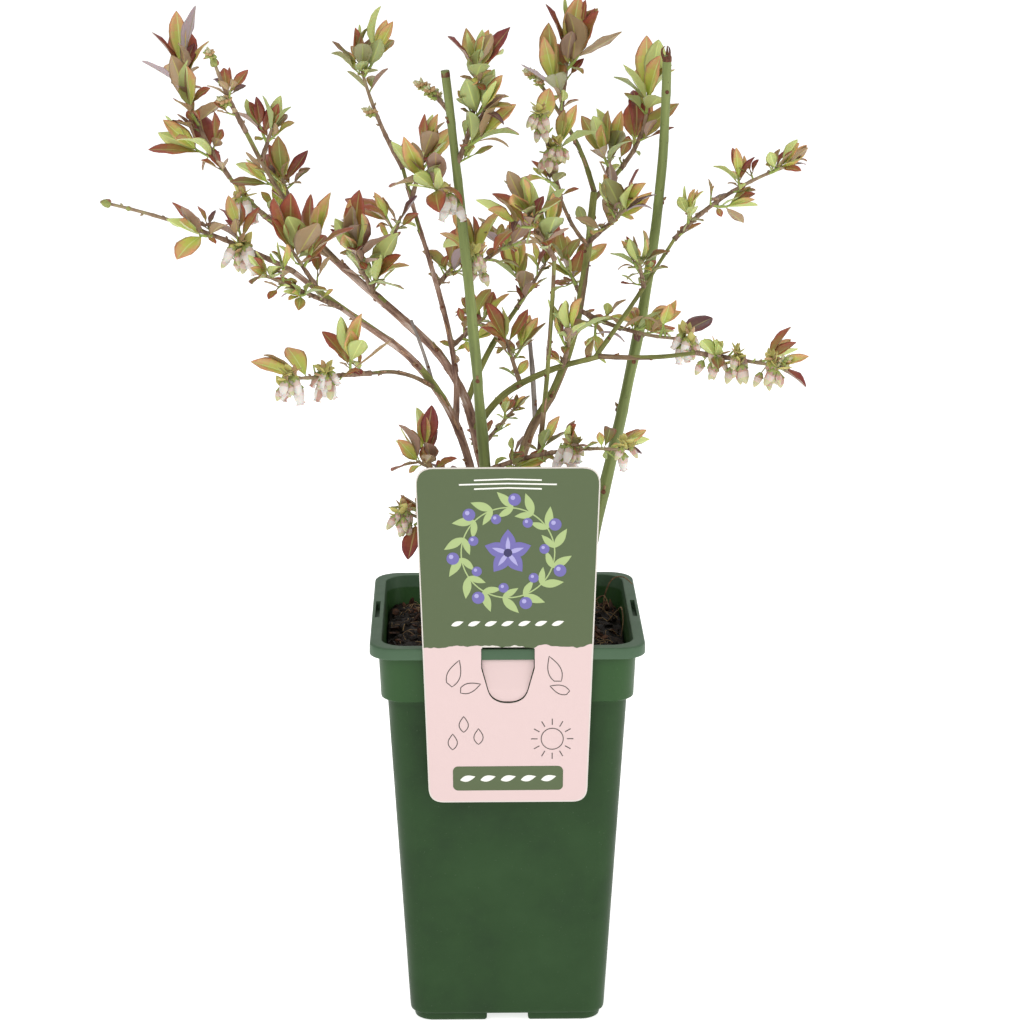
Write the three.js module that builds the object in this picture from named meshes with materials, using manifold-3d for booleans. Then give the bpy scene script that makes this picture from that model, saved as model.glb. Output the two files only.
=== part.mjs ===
// A young blueberry bush in a deep square nursery pot, with a hang label hooked on the front lip.
// Millimetres, +Z up. The origin is under the middle of the pot, on the surface it stands on, and
// the label faces -Y. Every limb and every mass of foliage is worked out from the tables below.
import * as THREE from "three";
import { mergeVertices } from "three/addons/utils/BufferGeometryUtils.js";
import Module from "manifold-3d";

const wasm = await Module();
wasm.setup();

const GAP = 0.3; // clearance between neighbouring solids

// ---- driving dimensions ----------------------------------------------------------------------
// Half widths are from the middle of the pot to a flat side.
const POT = {
  height: 227,
  corner: 14, // corner radius at the lip
  cornerSteps: 3,
  lip: { half: 75, skirtBottom: 220.5, skirt: 1.8, flange: 2 },
  collar: { bottom: 194.5, halfTop: 70.4, halfBottom: 69 },
  body: { halfTop: 65.6, halfBottom: 54.5 },
  wall: 2,
  floor: { bottom: 5, thickness: 2 },
  feet: { half: 52, halfTop: 52.5, inner: 40, notch: 23 },
  boss: { radius: 7 },
  roundSides: 12, // flats on the boss and the drain holes
  drain: { radius: 4.5, at: 27 },
  slot: { length: 31, near: 70.6, far: 73.1 }, // one label slot through the lip on each side
};
const SOIL = { level: 212, slack: 0.4 };
const LABEL = {
  top: 328, bottom: 139.7,
  halfTop: 49.5, halfBottom: 43,
  cornerTop: 10, cornerBottom: 8,
  back: 75.4, thickness: 0.8,
  tongue: { half: 14, shoulder: 214, point: 197, back: 71.3 },
  belly: 0.75, // how full the tongue's curved sides are
  windowEdge: 0.8, // how far the opening stands outside the tongue
};
// Radii, lengths and gaps are in millimetres, angles in degrees, and the rest are plain shares.
const LIMB = { sides: 6, step: 28, flare: 1.5, flareHeight: 14 };
const TWIG = { sides: 3, step: 18, root: 1.5, tip: 1 };
const SPUR = {
  gap: 22, first: 0.6, spread: 0.92, // how far apart they stand, and where the first and last do
  turn: 137.5, turnMore: 50, turnOfMass: 40,
  lean: 45, leanMore: 20, length: 9, lengthMore: 6, rise: 0.35,
};
const TUFT = { leaves: 4, bare: 3, last: 0.97, turn: 144, turnMore: 12 };
const LEAF = {
  length: 23, shortest: 0.75, longest: 1.15, halfWidth: 0.22, thickness: 1, sunk: 0.5,
  leanFirst: 75, leanLast: 22, leanMore: 8, rise: 0.25, tilt: 0.45,
  tested: [0.3, 0.5, 0.75, 1], // shares along the leaf that have to keep to the mass's space
};
const BELL = { count: 3, length: 14, radius: 3, lean: 10, leanMore: 40, turnMore: 60 };
// A mass keeps this far off its neighbours and the limbs, and behind the label and over the pot.
const SPACE = { margin: 1, limbClear: 0.8, labelClear: 4, potClear: 3 };
const DICE = { seedStep: 7919, seedStart: 104729, factor: 48271, modulus: 2147483647 };

// Limbs, thickest first. on: what carries it, at: foot on the soil (x, y) or fraction along the
// carrier, length, radii at foot and tip, and bends: headings that the limb turns through evenly.
// A heading is [lean from upright, compass angle], with 0 to the right, 90 back, 180 left, 270 front.
const LIMBS = {
  cane_front: { at: [-5, -15], length: 325, radii: [3.6, 2.3], bends: [[5, 230], [10, 230]] },
  cane_right: {
    at: [38, 22], length: 325, radii: [3.9, 2.5],
    bends: [[15, 20], [12, 20], [0, 0]],
  },
  stem_left: {
    at: [-13, -3], length: 260, radii: [2.9, 1.6],
    bends: [[5, 200], [5, 270], [25, 190], [55, 210], [50, 205]],
  },
  stem_main: {
    at: [-4, 3], length: 245, radii: [3.4, 2],
    bends: [[5, 150], [5, 150], [15, 175], [50, 170], [50, 165]],
  },
  stem_right: {
    at: [8, 0], length: 255, radii: [3.3, 2],
    bends: [[10, 90], [10, 110], [30, 15], [20, 60], [10, 60]],
  },
  stem_thin: {
    at: [14, -9], length: 225, radii: [1.7, 1.2],
    bends: [[10, 260], [10, 305], [10, 280]],
  },
  bough_left_rear: {
    on: "stem_main", at: 1, length: 90, radii: [1.8, 1.2],
    bends: [[80, 140], [55, 130]],
  },
  bough_left_upper: {
    on: "stem_main", at: 0.98, length: 115, radii: [1.7, 1.1],
    bends: [[50, 230], [40, 245]],
  },
  bough_middle: {
    on: "stem_left", at: 0.48, length: 155, radii: [1.8, 1.1],
    bends: [[30, 80], [35, 110], [35, 120], [25, 125]],
  },
  bough_inner_left: { on: "stem_main", at: 0.88, length: 25, radii: [1.4, 1], bends: [[40, 55]] },
  bough_arching: {
    on: "stem_main", at: 0.48, length: 95, radii: [2.1, 1.6],
    bends: [[35, 320], [60, 330], [75, 335]],
  },
  bough_right_low: {
    on: "bough_arching", at: 1, length: 70, radii: [1.5, 1.1],
    bends: [[85, 315], [75, 315]],
  },
  bough_right_rising: {
    on: "bough_arching", at: 0.97, length: 90, radii: [1.4, 1],
    bends: [[55, 50], [50, 50]],
  },
  bough_inner_right: {
    on: "stem_main", at: 0.54, length: 75, radii: [1.9, 1.3],
    bends: [[50, 70], [60, 55]],
  },
  bough_right_rear: {
    on: "stem_right", at: 1, length: 95, radii: [1.7, 1],
    bends: [[55, 100], [60, 110], [40, 150]],
  },
  bough_right_top: {
    on: "stem_right", at: 0.98, length: 25, radii: [1.5, 1.2],
    bends: [[50, 35]],
  },
  bough_right_front: {
    on: "stem_right", at: 0.88, length: 55, radii: [1.3, 1],
    bends: [[60, 245], [45, 250]],
  },
  bough_low_left: {
    on: "stem_left", at: 0.58, length: 65, radii: [1.3, 1],
    bends: [[60, 235], [85, 240]],
  },
  dead_stub: {
    on: "stem_right", at: 0.47, length: 60, radii: [1.5, 1.3],
    bends: [[10, 100], [20, 110]],
  },
  dead_twig: {
    on: "stem_left", at: 0.58, length: 40, radii: [1.1, 0.8],
    bends: [[30, 120], [35, 130]],
  },
};

// Masses of foliage: each grows from one stem, told as a limb is. vigour: how large its leaves and
// spurs grow, 1 where it isn't given, leafy: the stretch of the stem that bears leaves, and bloom:
// where along the stem a bunch of bells hangs.
const SPRAYS = {
  spray_far_left: {
    on: "stem_left", at: 1, length: 110, vigour: 0.85,
    bends: [[60, 195], [75, 195]], leafy: [0, 0.55], bloom: [0.25],
  },
  spray_left_fork: { on: "stem_left", at: 0.93, length: 30, bends: [[35, 215]] },
  spray_left_twig: {
    on: "bough_left_rear", at: 0.35, length: 35, vigour: 0.7,
    bends: [[50, 205]], leafy: [0.1, 0.6], bloom: [0.95],
  },
  spray_left_inner: { on: "stem_left", at: 0.86, length: 60, vigour: 0.6, bends: [[65, 225]] },
  spray_top_left: {
    on: "bough_left_upper", at: 1, length: 45, vigour: 0.6,
    bends: [[30, 210], [20, 215]], leafy: [0.2, 0.6],
  },
  spray_upper_side: {
    on: "bough_left_upper", at: 0.8, length: 18, vigour: 0.85,
    bends: [[20, 20]],
  },
  spray_rear_left: { on: "bough_left_rear", at: 1, length: 70, bends: [[40, 160], [20, 120]] },
  spray_left_mid: {
    on: "bough_left_upper", at: 0.45, length: 18, vigour: 0.8,
    bends: [[35, 120]],
  },
  spray_crown_left: { on: "stem_main", at: 0.87, length: 45, bends: [[50, 255]] },
  spray_inner_left: {
    on: "bough_inner_left", at: 1, length: 25, vigour: 0.9,
    bends: [[45, 65]],
  },
  spray_low_left: {
    on: "bough_low_left", at: 1, length: 50, vigour: 0.9,
    bends: [[85, 220]], bloom: [0.6, 1],
  },
  spray_top_middle: {
    on: "bough_middle", at: 1, length: 65,
    bends: [[35, 150], [20, 135]], leafy: [0.7, 1],
  },
  spray_middle_side: {
    on: "bough_middle", at: 0.88, length: 28, vigour: 0.9,
    bends: [[25, 50]],
  },
  spray_middle_rear: { on: "bough_middle", at: 0.54, length: 18, vigour: 0.8, bends: [[65, 60]] },
  spray_middle_low: { on: "bough_middle", at: 0.3, length: 40, vigour: 0.7, bends: [[75, 60]] },
  spray_cane_top: { on: "cane_front", at: 0.84, length: 60, bends: [[30, 320], [20, 265]] },
  spray_cane_bud: {
    on: "cane_front", at: 0.93, length: 18, vigour: 0.6,
    bends: [[45, 155]], bloom: [0.9],
  },
  spray_cane_left: {
    on: "cane_front", at: 0.78, length: 28, vigour: 0.9,
    bends: [[60, 215]], bloom: [0.2],
  },
  spray_cane_right: {
    on: "cane_front", at: 0.66, length: 50, vigour: 0.9,
    bends: [[80, 60]], bloom: [0.3],
  },
  spray_inner_right: { on: "bough_inner_right", at: 1, length: 40, bends: [[60, 60]] },
  spray_centre: { on: "stem_thin", at: 1, length: 45, bends: [[50, 245]] },
  spray_arch: { on: "bough_arching", at: 0.76, length: 30, vigour: 0.8, bends: [[40, 280]] },
  spray_arch_back: { on: "bough_arching", at: 0.45, length: 28, vigour: 0.8, bends: [[35, 120]] },
  spray_front_right: {
    on: "bough_right_front", at: 1, length: 55, vigour: 0.8,
    bends: [[30, 245]], bloom: [0.6, 1],
  },
  spray_rear_right: { on: "bough_right_rear", at: 0.7, length: 35, bends: [[15, 60]] },
  spray_rear_side: { on: "bough_right_top", at: 0.4, length: 22, vigour: 0.8, bends: [[15, 40]] },
  spray_top_right: { on: "bough_right_top", at: 1, length: 50, bends: [[50, 35], [25, 90]] },
  spray_right_heart: { on: "stem_right", at: 0.89, length: 50, vigour: 1.1, bends: [[60, 295]] },
  spray_right_back: { on: "stem_right", at: 0.77, length: 45, vigour: 0.8, bends: [[75, 100]] },
  spray_right_tip: {
    on: "bough_right_rising", at: 1, length: 85, vigour: 0.65,
    bends: [[55, 40], [75, 15]],
  },
  spray_cane_cross: {
    on: "bough_right_rising", at: 0.6, length: 25, vigour: 0.7,
    bends: [[50, 260]],
  },
  spray_low_right: {
    on: "bough_right_low", at: 1, length: 50, vigour: 0.7,
    bends: [[90, 320]], bloom: [0.15, 0.5, 0.9],
  },
  spray_mid_right: {
    on: "stem_right", at: 0.74, length: 75, vigour: 0.9,
    bends: [[105, 315], [85, 320]], bloom: [1],
  },
  spray_foot_right: {
    on: "cane_front", at: 0.31, length: 90, vigour: 0.8,
    bends: [[65, 335], [85, 320]], bloom: [0.6, 1],
  },
  spray_foot_back: { on: "stem_main", at: 0.43, length: 50, vigour: 0.5, bends: [[75, 65]] },
  spray_foot_left: { on: "stem_left", at: 0.33, length: 45, vigour: 0.9, bends: [[60, 215]] },
  spray_pot_left: {
    on: "stem_left", at: 0.22, length: 60, vigour: 0.9,
    bends: [[65, 225]], bloom: [1],
  },
};

const paint = (color, roughness) => new THREE.MeshStandardMaterial({ color, roughness });
const MATERIALS = {
  pot: paint(0x2f5232, 0.45),
  soil: paint(0x2e231c, 1),
  label: paint(0x6b7b57, 0.5),
  cane: paint(0x74864a, 0.7),
  bark: paint(0x8a6a55, 0.9),
  dead: paint(0x8b8484, 0.95),
  foliage: paint(0x87993f, 0.6),
};

// ---- solids ----------------------------------------------------------------------------------
function solid(geometry) {
  const bare = geometry.clone();
  bare.deleteAttribute("normal");
  bare.deleteAttribute("uv");
  const merged = mergeVertices(bare, 1e-4);
  const vertProperties = new Float32Array(merged.attributes.position.array);
  const triVerts = new Uint32Array(merged.index.array);
  return new wasm.Manifold(new wasm.Mesh({ numProp: 3, vertProperties, triVerts }));
}

function geometryOf(body) {
  const mesh = body.getMesh();
  const geometry = new THREE.BufferGeometry();
  geometry.setAttribute("position", new THREE.BufferAttribute(mesh.vertProperties, 3));
  geometry.setIndex(new THREE.BufferAttribute(mesh.triVerts, 1));
  geometry.computeVertexNormals();
  return geometry;
}

const join = (bodies) => bodies.reduce((all, body) => all.add(body));
const largest = (body) =>
  body.decompose().reduce((best, piece) => (piece.volume() > best.volume() ? piece : best));

const box = (x, y, z, centre) =>
  solid(new THREE.BoxGeometry(x, y, z).translate(centre[0], centre[1], centre[2]));

// A square with rounded corners.
function roundedSquare(half, corner) {
  const shape = new THREE.Shape();
  const straight = half - corner;
  shape.absarc(straight, straight, corner, 0, Math.PI / 2);
  shape.absarc(-straight, straight, corner, Math.PI / 2, Math.PI);
  shape.absarc(-straight, -straight, corner, Math.PI, 1.5 * Math.PI);
  shape.absarc(straight, -straight, corner, 1.5 * Math.PI, 2 * Math.PI);
  return shape;
}

// A rounded square block between two heights, whose sides taper evenly.
function taperedBlock(bottom, top, halfBottom, halfTop) {
  const corner = (POT.corner * halfTop) / POT.lip.half;
  const geometry = new THREE.ExtrudeGeometry(roundedSquare(halfTop, corner), {
    depth: top - bottom, bevelEnabled: false, curveSegments: POT.cornerSteps,
  });
  const place = geometry.attributes.position;
  for (let i = 0; i < place.count; i++) {
    const share = place.getZ(i) / (top - bottom);
    const scale = THREE.MathUtils.lerp(halfBottom, halfTop, share) / halfTop;
    place.setXYZ(i, place.getX(i) * scale, place.getY(i) * scale, place.getZ(i) + bottom);
  }
  return solid(geometry);
}

// ---- pot, soil and label ---------------------------------------------------------------------
// Half width of the tapering body at a height.
function bodyHalf(z) {
  const { body, floor, collar } = POT;
  const share = (z - floor.bottom) / (collar.bottom - floor.bottom);
  return THREE.MathUtils.lerp(body.halfBottom, body.halfTop, share);
}

function makePot() {
  const { lip, collar, wall, floor, feet, boss, drain, slot, height } = POT;
  const floorTop = floor.bottom + floor.thickness;
  const flangeBottom = height - lip.flange;
  const channelHalf = lip.half - lip.skirt;
  const outside = [
    taperedBlock(lip.skirtBottom, height, lip.half, lip.half),
    taperedBlock(collar.bottom, lip.skirtBottom, collar.halfBottom, collar.halfTop),
    taperedBlock(floor.bottom, collar.bottom, bodyHalf(floor.bottom), bodyHalf(collar.bottom)),
  ];
  // The hollow under the lip, between its skirt and the collar.
  const channel = taperedBlock(lip.skirtBottom - 1, flangeBottom, channelHalf, channelHalf)
    .subtract(taperedBlock(collar.bottom, height, collar.halfTop, collar.halfTop));
  const shelf = collar.bottom + wall;
  const inside = [
    taperedBlock(floorTop, shelf + 1, bodyHalf(floorTop) - wall, bodyHalf(shelf) - wall),
    taperedBlock(shelf, height + 1, collar.halfBottom - wall, collar.halfTop - wall),
  ];
  const foot = taperedBlock(0, floor.bottom + 1, feet.half, feet.halfTop)
    .subtract(taperedBlock(-1, floor.bottom, feet.inner, feet.inner))
    .subtract(box(feet.notch, 3 * feet.half, 2 * floor.bottom, [0, 0, 0]))
    .subtract(box(3 * feet.half, feet.notch, 2 * floor.bottom, [0, 0, 0]));
  const upright = (radius, depth) =>
    new THREE.CylinderGeometry(radius, radius, depth, POT.roundSides).rotateX(Math.PI / 2);
  const bossHeight = floor.bottom + floor.thickness / 2;
  const centreBoss = solid(upright(boss.radius, bossHeight).translate(0, 0, bossHeight / 2));
  let pot = join(outside).subtract(channel).subtract(join(inside)).add(foot).add(centreBoss);
  for (let side = 0; side < 4; side++) {
    const turn = (side * Math.PI) / 2;
    const width = slot.far - slot.near;
    const cut = new THREE.BoxGeometry(slot.length, width, 3 * lip.flange);
    cut.translate(0, (slot.near + slot.far) / 2, height - lip.flange / 2).rotateZ(turn);
    const hole = upright(drain.radius, 4 * floor.thickness);
    hole.translate(0, drain.at, floorTop).rotateZ(turn);
    pot = pot.subtract(solid(cut)).subtract(solid(hole));
  }
  return largest(pot);
}

function makeSoil() {
  const { wall, collar, floor } = POT;
  const inset = wall + SOIL.slack;
  const bottom = floor.bottom + floor.thickness + GAP;
  const step = collar.bottom + wall + GAP;
  const stepHalf = bodyHalf(step - wall) - inset;
  const topHalf = collar.halfBottom - inset;
  return taperedBlock(bottom, step, bodyHalf(bottom) - inset, stepHalf)
    .add(taperedBlock(step, SOIL.level, topHalf, topHalf));
}

// The shield that forms the label's tongue, and a little larger, the opening it hangs in.
function shieldShape(half, top, shoulder, point) {
  const shape = new THREE.Shape();
  shape.moveTo(-half, top);
  shape.lineTo(-half, shoulder);
  shape.quadraticCurveTo(-half * LABEL.belly, (shoulder + point) / 2, 0, point);
  shape.quadraticCurveTo(half * LABEL.belly, (shoulder + point) / 2, half, shoulder);
  shape.lineTo(half, top);
  return shape;
}

function labelOutline() {
  const { top, bottom, halfTop, halfBottom, cornerTop, cornerBottom } = LABEL;
  const shape = new THREE.Shape();
  shape.moveTo(-halfBottom + cornerBottom, bottom);
  shape.lineTo(halfBottom - cornerBottom, bottom);
  shape.quadraticCurveTo(halfBottom, bottom, halfBottom, bottom + cornerBottom);
  shape.lineTo(halfTop, top - cornerTop);
  shape.quadraticCurveTo(halfTop, top, halfTop - cornerTop, top);
  shape.lineTo(-halfTop + cornerTop, top);
  shape.quadraticCurveTo(-halfTop, top, -halfTop, top - cornerTop);
  shape.lineTo(-halfBottom, bottom + cornerBottom);
  shape.quadraticCurveTo(-halfBottom, bottom, -halfBottom + cornerBottom, bottom);
  return shape;
}

// A flat sheet in the label's upright plane, whose back is at a distance in front of the origin.
function sheet(shape, back) {
  const options = { depth: LABEL.thickness, bevelEnabled: false, curveSegments: 5 };
  const geometry = new THREE.ExtrudeGeometry(shape, options);
  return solid(geometry.rotateX(Math.PI / 2).translate(0, -back, 0));
}

function makeLabel() {
  const { tongue, windowEdge, back, thickness } = LABEL;
  const seat = POT.height + GAP;
  const opening = shieldShape(
    tongue.half + windowEdge, seat, tongue.shoulder, tongue.point - 1.5 * windowEdge,
  );
  const plate = sheet(labelOutline(), back).subtract(
    solid(new THREE.ExtrudeGeometry(opening, { depth: 4 * thickness, bevelEnabled: false })
      .rotateX(Math.PI / 2).translate(0, -back + thickness, 0)),
  );
  const hanging = sheet(
    shieldShape(tongue.half, seat + thickness / 2, tongue.shoulder, tongue.point), tongue.back,
  );
  const bridgeDepth = back + thickness - tongue.back;
  const bridge = box(
    2 * tongue.half, bridgeDepth, thickness,
    [0, -tongue.back - bridgeDepth / 2, seat + thickness / 2],
  );
  return plate.add(bridge).add(hanging);
}

// ---- growth ----------------------------------------------------------------------------------
// The same small seeded dice everywhere, so that the bush always grows alike.
function makeDice(seed) {
  let state = seed * DICE.seedStep + DICE.seedStart;
  const roll = () => {
    state = (state * DICE.factor) % DICE.modulus;
    return state / DICE.modulus;
  };
  roll();
  roll();
  return (low, high) => low + (high - low) * roll();
}

function heading([lean, compass]) {
  const a = THREE.MathUtils.degToRad(lean);
  const b = THREE.MathUtils.degToRad(compass);
  return new THREE.Vector3(Math.sin(a) * Math.cos(b), Math.sin(a) * Math.sin(b), Math.cos(a));
}

// A line that starts at a point and turns evenly through its headings.
function growLine(start, bends, length, step) {
  const headings = bends.map(heading);
  const last = headings.length - 1;
  const count = Math.max(3, Math.round(length / step));
  const line = [start.clone()];
  for (let i = 0; i < count; i++) {
    const place = ((i + 0.5) / count) * last;
    const from = Math.min(Math.floor(place), Math.max(last - 1, 0));
    const to = Math.min(from + 1, last);
    const way = headings[from].clone().lerp(headings[to], place - from).normalize();
    line.push(line[i].clone().addScaledVector(way, length / count));
  }
  return line;
}

function along(line, share) {
  const place = share * (line.length - 1);
  const from = Math.min(Math.floor(place), line.length - 2);
  return line[from].clone().lerp(line[from + 1], place - from);
}

function wayAt(line, share) {
  const from = Math.min(Math.floor(share * (line.length - 1)), line.length - 2);
  return line[from + 1].clone().sub(line[from]).normalize();
}

// A direction that leans off an axis by one angle, towards a side told by the turn round it.
function leanOff(axis, turn, lean) {
  const up = Math.abs(axis.z) < 0.9 ? new THREE.Vector3(0, 0, 1) : new THREE.Vector3(1, 0, 0);
  const side = up.cross(axis).normalize();
  const other = axis.clone().cross(side);
  const a = THREE.MathUtils.degToRad(turn);
  const b = THREE.MathUtils.degToRad(lean);
  const out = side.multiplyScalar(Math.cos(a)).addScaledVector(other, Math.sin(a));
  return axis.clone().multiplyScalar(Math.cos(b)).addScaledVector(out, Math.sin(b)).normalize();
}

const rising = (way, rise) => way.add(new THREE.Vector3(0, 0, rise)).normalize();

function distanceTo(line, point) {
  const stretch = new THREE.Line3();
  const nearest = new THREE.Vector3();
  let best = Infinity;
  for (let i = 1; i < line.length; i++) {
    stretch.set(line[i - 1], line[i]).closestPointToPoint(point, true, nearest);
    best = Math.min(best, nearest.distanceTo(point));
  }
  return best;
}

// A tapering limb or twig: a cylinder bent along a line. The radius is told by the share along it.
function tube(line, sides, radiusAt) {
  const steps = line.length - 1;
  const geometry = new THREE.CylinderGeometry(1, 1, 1, sides, steps);
  const rings = [];
  let side = new THREE.Vector3(1, 0, 0);
  for (let i = 0; i <= steps; i++) {
    const before = line[Math.max(i - 1, 0)];
    const after = line[Math.min(i + 1, steps)];
    const way = after.clone().sub(before).normalize();
    if (Math.abs(side.dot(way)) > 0.99) side = new THREE.Vector3(0, 1, 0);
    side = side.clone().addScaledVector(way, -side.dot(way)).normalize();
    rings.push({ centre: line[i], side, other: way.cross(side), radius: radiusAt(i / steps) });
  }
  const place = geometry.attributes.position;
  const vertex = new THREE.Vector3();
  for (let i = 0; i < place.count; i++) {
    const ring = rings[Math.round((place.getY(i) + 0.5) * steps)];
    vertex.copy(ring.centre)
      .addScaledVector(ring.other, place.getX(i) * ring.radius)
      .addScaledVector(ring.side, place.getZ(i) * ring.radius);
    place.setXYZ(i, vertex.x, vertex.y, vertex.z);
  }
  return solid(geometry);
}

const taper = (from, to) => (share) => THREE.MathUtils.lerp(from, to, share);

// A body with a point at each end and a ring of corners halfway, laid along a way from its base:
// three corners make a leaf with a ridge on its upper face, and four a bell.
function pointedBody(corners, base, way, face, length, halfWidth, halfThickness) {
  const side = face.clone().cross(way).normalize();
  const geometry = new THREE.SphereGeometry(1, corners, 2);
  geometry.rotateZ(-Math.PI / 2).rotateX(Math.PI / 2);
  geometry.scale(length / 2, halfWidth, halfThickness).translate(length / 2, 0, 0);
  geometry.applyMatrix4(new THREE.Matrix4().makeBasis(way, side, way.clone().cross(side)));
  return solid(geometry.translate(base.x, base.y, base.z));
}

// ---- limbs -----------------------------------------------------------------------------------
const ground = SOIL.level + GAP;
const limbLines = {};
for (const [name, limb] of Object.entries(LIMBS)) {
  const start = limb.on
    ? along(limbLines[limb.on], limb.at)
    : new THREE.Vector3(limb.at[0], limb.at[1], ground);
  limbLines[name] = growLine(start, limb.bends, limb.length, LIMB.step);
}

// The limb's own tube, let out by a margin. Stems that stand on the soil flare at their foot.
function limbTube(name, margin) {
  const { on, length, radii } = LIMBS[name];
  const radiusAt = (share) => {
    const flare = on ? 0 : LIMB.flare * Math.exp((-share * length) / LIMB.flareHeight);
    return taper(...radii)(share) + flare + margin;
  };
  return tube(limbLines[name], LIMB.sides, radiusAt);
}

// A limb that grows on from its carrier's tip starts a gap beyond it, and every limb is cut clear
// of the limbs before it and of the ground.
function makeLimbs() {
  const width = 2 * POT.lip.half;
  const soilCut = box(width, width, SOIL.level, [0, 0, ground - SOIL.level / 2]);
  const made = {};
  const before = [];
  for (const name of Object.keys(LIMBS)) {
    let body = limbTube(name, 0).subtract(soilCut);
    for (const other of before) body = body.subtract(other);
    made[name] = largest(body);
    before.push(limbTube(name, GAP));
  }
  return made;
}

// ---- masses of foliage -----------------------------------------------------------------------
const sprayLines = {};
for (const [name, spray] of Object.entries(SPRAYS)) {
  const start = along(limbLines[spray.on], spray.at);
  sprayLines[name] = growLine(start, spray.bends, spray.length, TWIG.step);
}

// A mass keeps to the space that lies nearer its own stem than any other's, and off all else.
function keepsToItsSpace(name, points) {
  return points.every((point) => {
    const behindLabel = point.y > -LABEL.tongue.back + SPACE.labelClear;
    if (point.z < POT.height + SPACE.potClear) return false;
    if (point.z < LABEL.top + SPACE.potClear && !behindLabel) return false;
    const own = distanceTo(sprayLines[name], point) + SPACE.margin;
    const free = Object.entries(sprayLines).every(
      ([other, line]) => other === name || distanceTo(line, point) >= own,
    );
    return free && Object.entries(limbLines).every(
      ([limb, line]) => distanceTo(line, point) >= LIMBS[limb].radii[0] + SPACE.limbClear,
    );
  });
}

// Short spurs alternate round a stem, and the stem's own end bears leaves as they do.
function growShoots(name, dice) {
  const { leafy = [0, 1], vigour = 1, length } = SPRAYS[name];
  const line = sprayLines[name];
  const turn = Object.keys(SPRAYS).indexOf(name) * SPUR.turnOfMass;
  const [from, to] = leafy;
  const count = Math.max(1, Math.round((length * (to - from)) / SPUR.gap));
  const shoots = [];
  for (let k = 0; k < count; k++) {
    const share = from + ((to - from) * (k + SPUR.first) * SPUR.spread) / count;
    const start = along(line, share);
    const side = k * SPUR.turn + turn + dice(0, SPUR.turnMore);
    const lean = SPUR.lean + dice(0, SPUR.leanMore);
    const way = rising(leanOff(wayAt(line, share), side, lean), SPUR.rise);
    const reach = vigour * (SPUR.length + dice(0, SPUR.lengthMore));
    const end = start.clone().addScaledVector(way, reach);
    if (keepsToItsSpace(name, [end])) shoots.push({ start, end, way });
  }
  if (to === 1) {
    const way = wayAt(line, 1);
    const end = line[line.length - 1];
    shoots.push({ start: end.clone().addScaledVector(way, -vigour * SPUR.length), end, way });
  }
  return shoots;
}

// Leaves stand round the outer part of a shoot, and close in on its axis towards the tip.
function growLeaves(name, { start, end, way: axis }, dice) {
  const { vigour = 1 } = SPRAYS[name];
  const grown = [];
  const bare = TUFT.bare / start.distanceTo(end);
  for (let j = 0; j < TUFT.leaves; j++) {
    const share = (j + 0.5) / TUFT.leaves;
    const leaning = dice(-LEAF.leanMore, LEAF.leanMore);
    const lean = THREE.MathUtils.lerp(LEAF.leanFirst, LEAF.leanLast, share) + leaning;
    const turn = j * TUFT.turn + dice(0, TUFT.turnMore);
    const way = rising(leanOff(axis, turn, lean), LEAF.rise);
    const length = LEAF.length * vigour * dice(LEAF.shortest, LEAF.longest);
    const halfWidth = length * LEAF.halfWidth;
    const tilt = new THREE.Vector3(dice(-LEAF.tilt, LEAF.tilt), dice(-LEAF.tilt, LEAF.tilt), 1);
    const face = tilt.addScaledVector(way, -tilt.dot(way)).normalize();
    const side = face.clone().cross(way);
    const seat = THREE.MathUtils.lerp(bare, TUFT.last, j / (TUFT.leaves - 1));
    const base = start.clone().lerp(end, seat);
    const middle = base.clone().addScaledVector(way, length / 2);
    const outline = [
      middle.clone().addScaledVector(side, halfWidth),
      middle.clone().addScaledVector(side, -halfWidth),
      ...LEAF.tested.map((share) => base.clone().addScaledVector(way, share * length)),
    ];
    if (keepsToItsSpace(name, outline)) grown.push({ base, way, face, length, halfWidth });
  }
  return grown;
}

function growBells(name, start, dice) {
  const grown = [];
  for (let j = 0; j < BELL.count; j++) {
    const turn = (j * 360) / BELL.count + dice(0, BELL.turnMore);
    const lean = BELL.lean + dice(0, BELL.leanMore);
    const way = leanOff(new THREE.Vector3(0, 0, -1), turn, lean);
    const mouth = start.clone().addScaledVector(way, BELL.length);
    if (keepsToItsSpace(name, [mouth])) grown.push(way);
  }
  return grown;
}

function makeSpray(name, index) {
  const spray = SPRAYS[name];
  const line = sprayLines[name];
  const dice = makeDice(index + 1);
  const shoots = growShoots(name, dice);
  const parts = [tube(line, TWIG.sides, taper(TWIG.root, TWIG.tip))];
  for (const shoot of shoots) {
    const isStemEnd = shoot.end === line[line.length - 1];
    const spur = [shoot.start, shoot.end];
    if (!isStemEnd) parts.push(tube(spur, TWIG.sides, taper(TWIG.tip, TWIG.tip)));
    for (const { base, way, face, length, halfWidth } of growLeaves(name, shoot, dice)) {
      const root = base.addScaledVector(way, -LEAF.sunk);
      parts.push(pointedBody(3, root, way, face, length, halfWidth, LEAF.thickness / 2));
    }
  }
  for (const share of spray.bloom ?? []) {
    const start = along(line, share);
    for (const way of growBells(name, start, dice)) {
      const root = start.clone().addScaledVector(way, -LEAF.sunk);
      const face = leanOff(way, 0, 90);
      parts.push(pointedBody(4, root, way, face, BELL.length, BELL.radius, BELL.radius));
    }
  }
  return largest(join(parts).subtract(limbTube(spray.on, GAP)));
}

// ---- assembly --------------------------------------------------------------------------------
const bush = new THREE.Group();
function addPart(name, body, material) {
  const mesh = new THREE.Mesh(geometryOf(body), material);
  mesh.name = name;
  bush.add(mesh);
}

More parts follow.
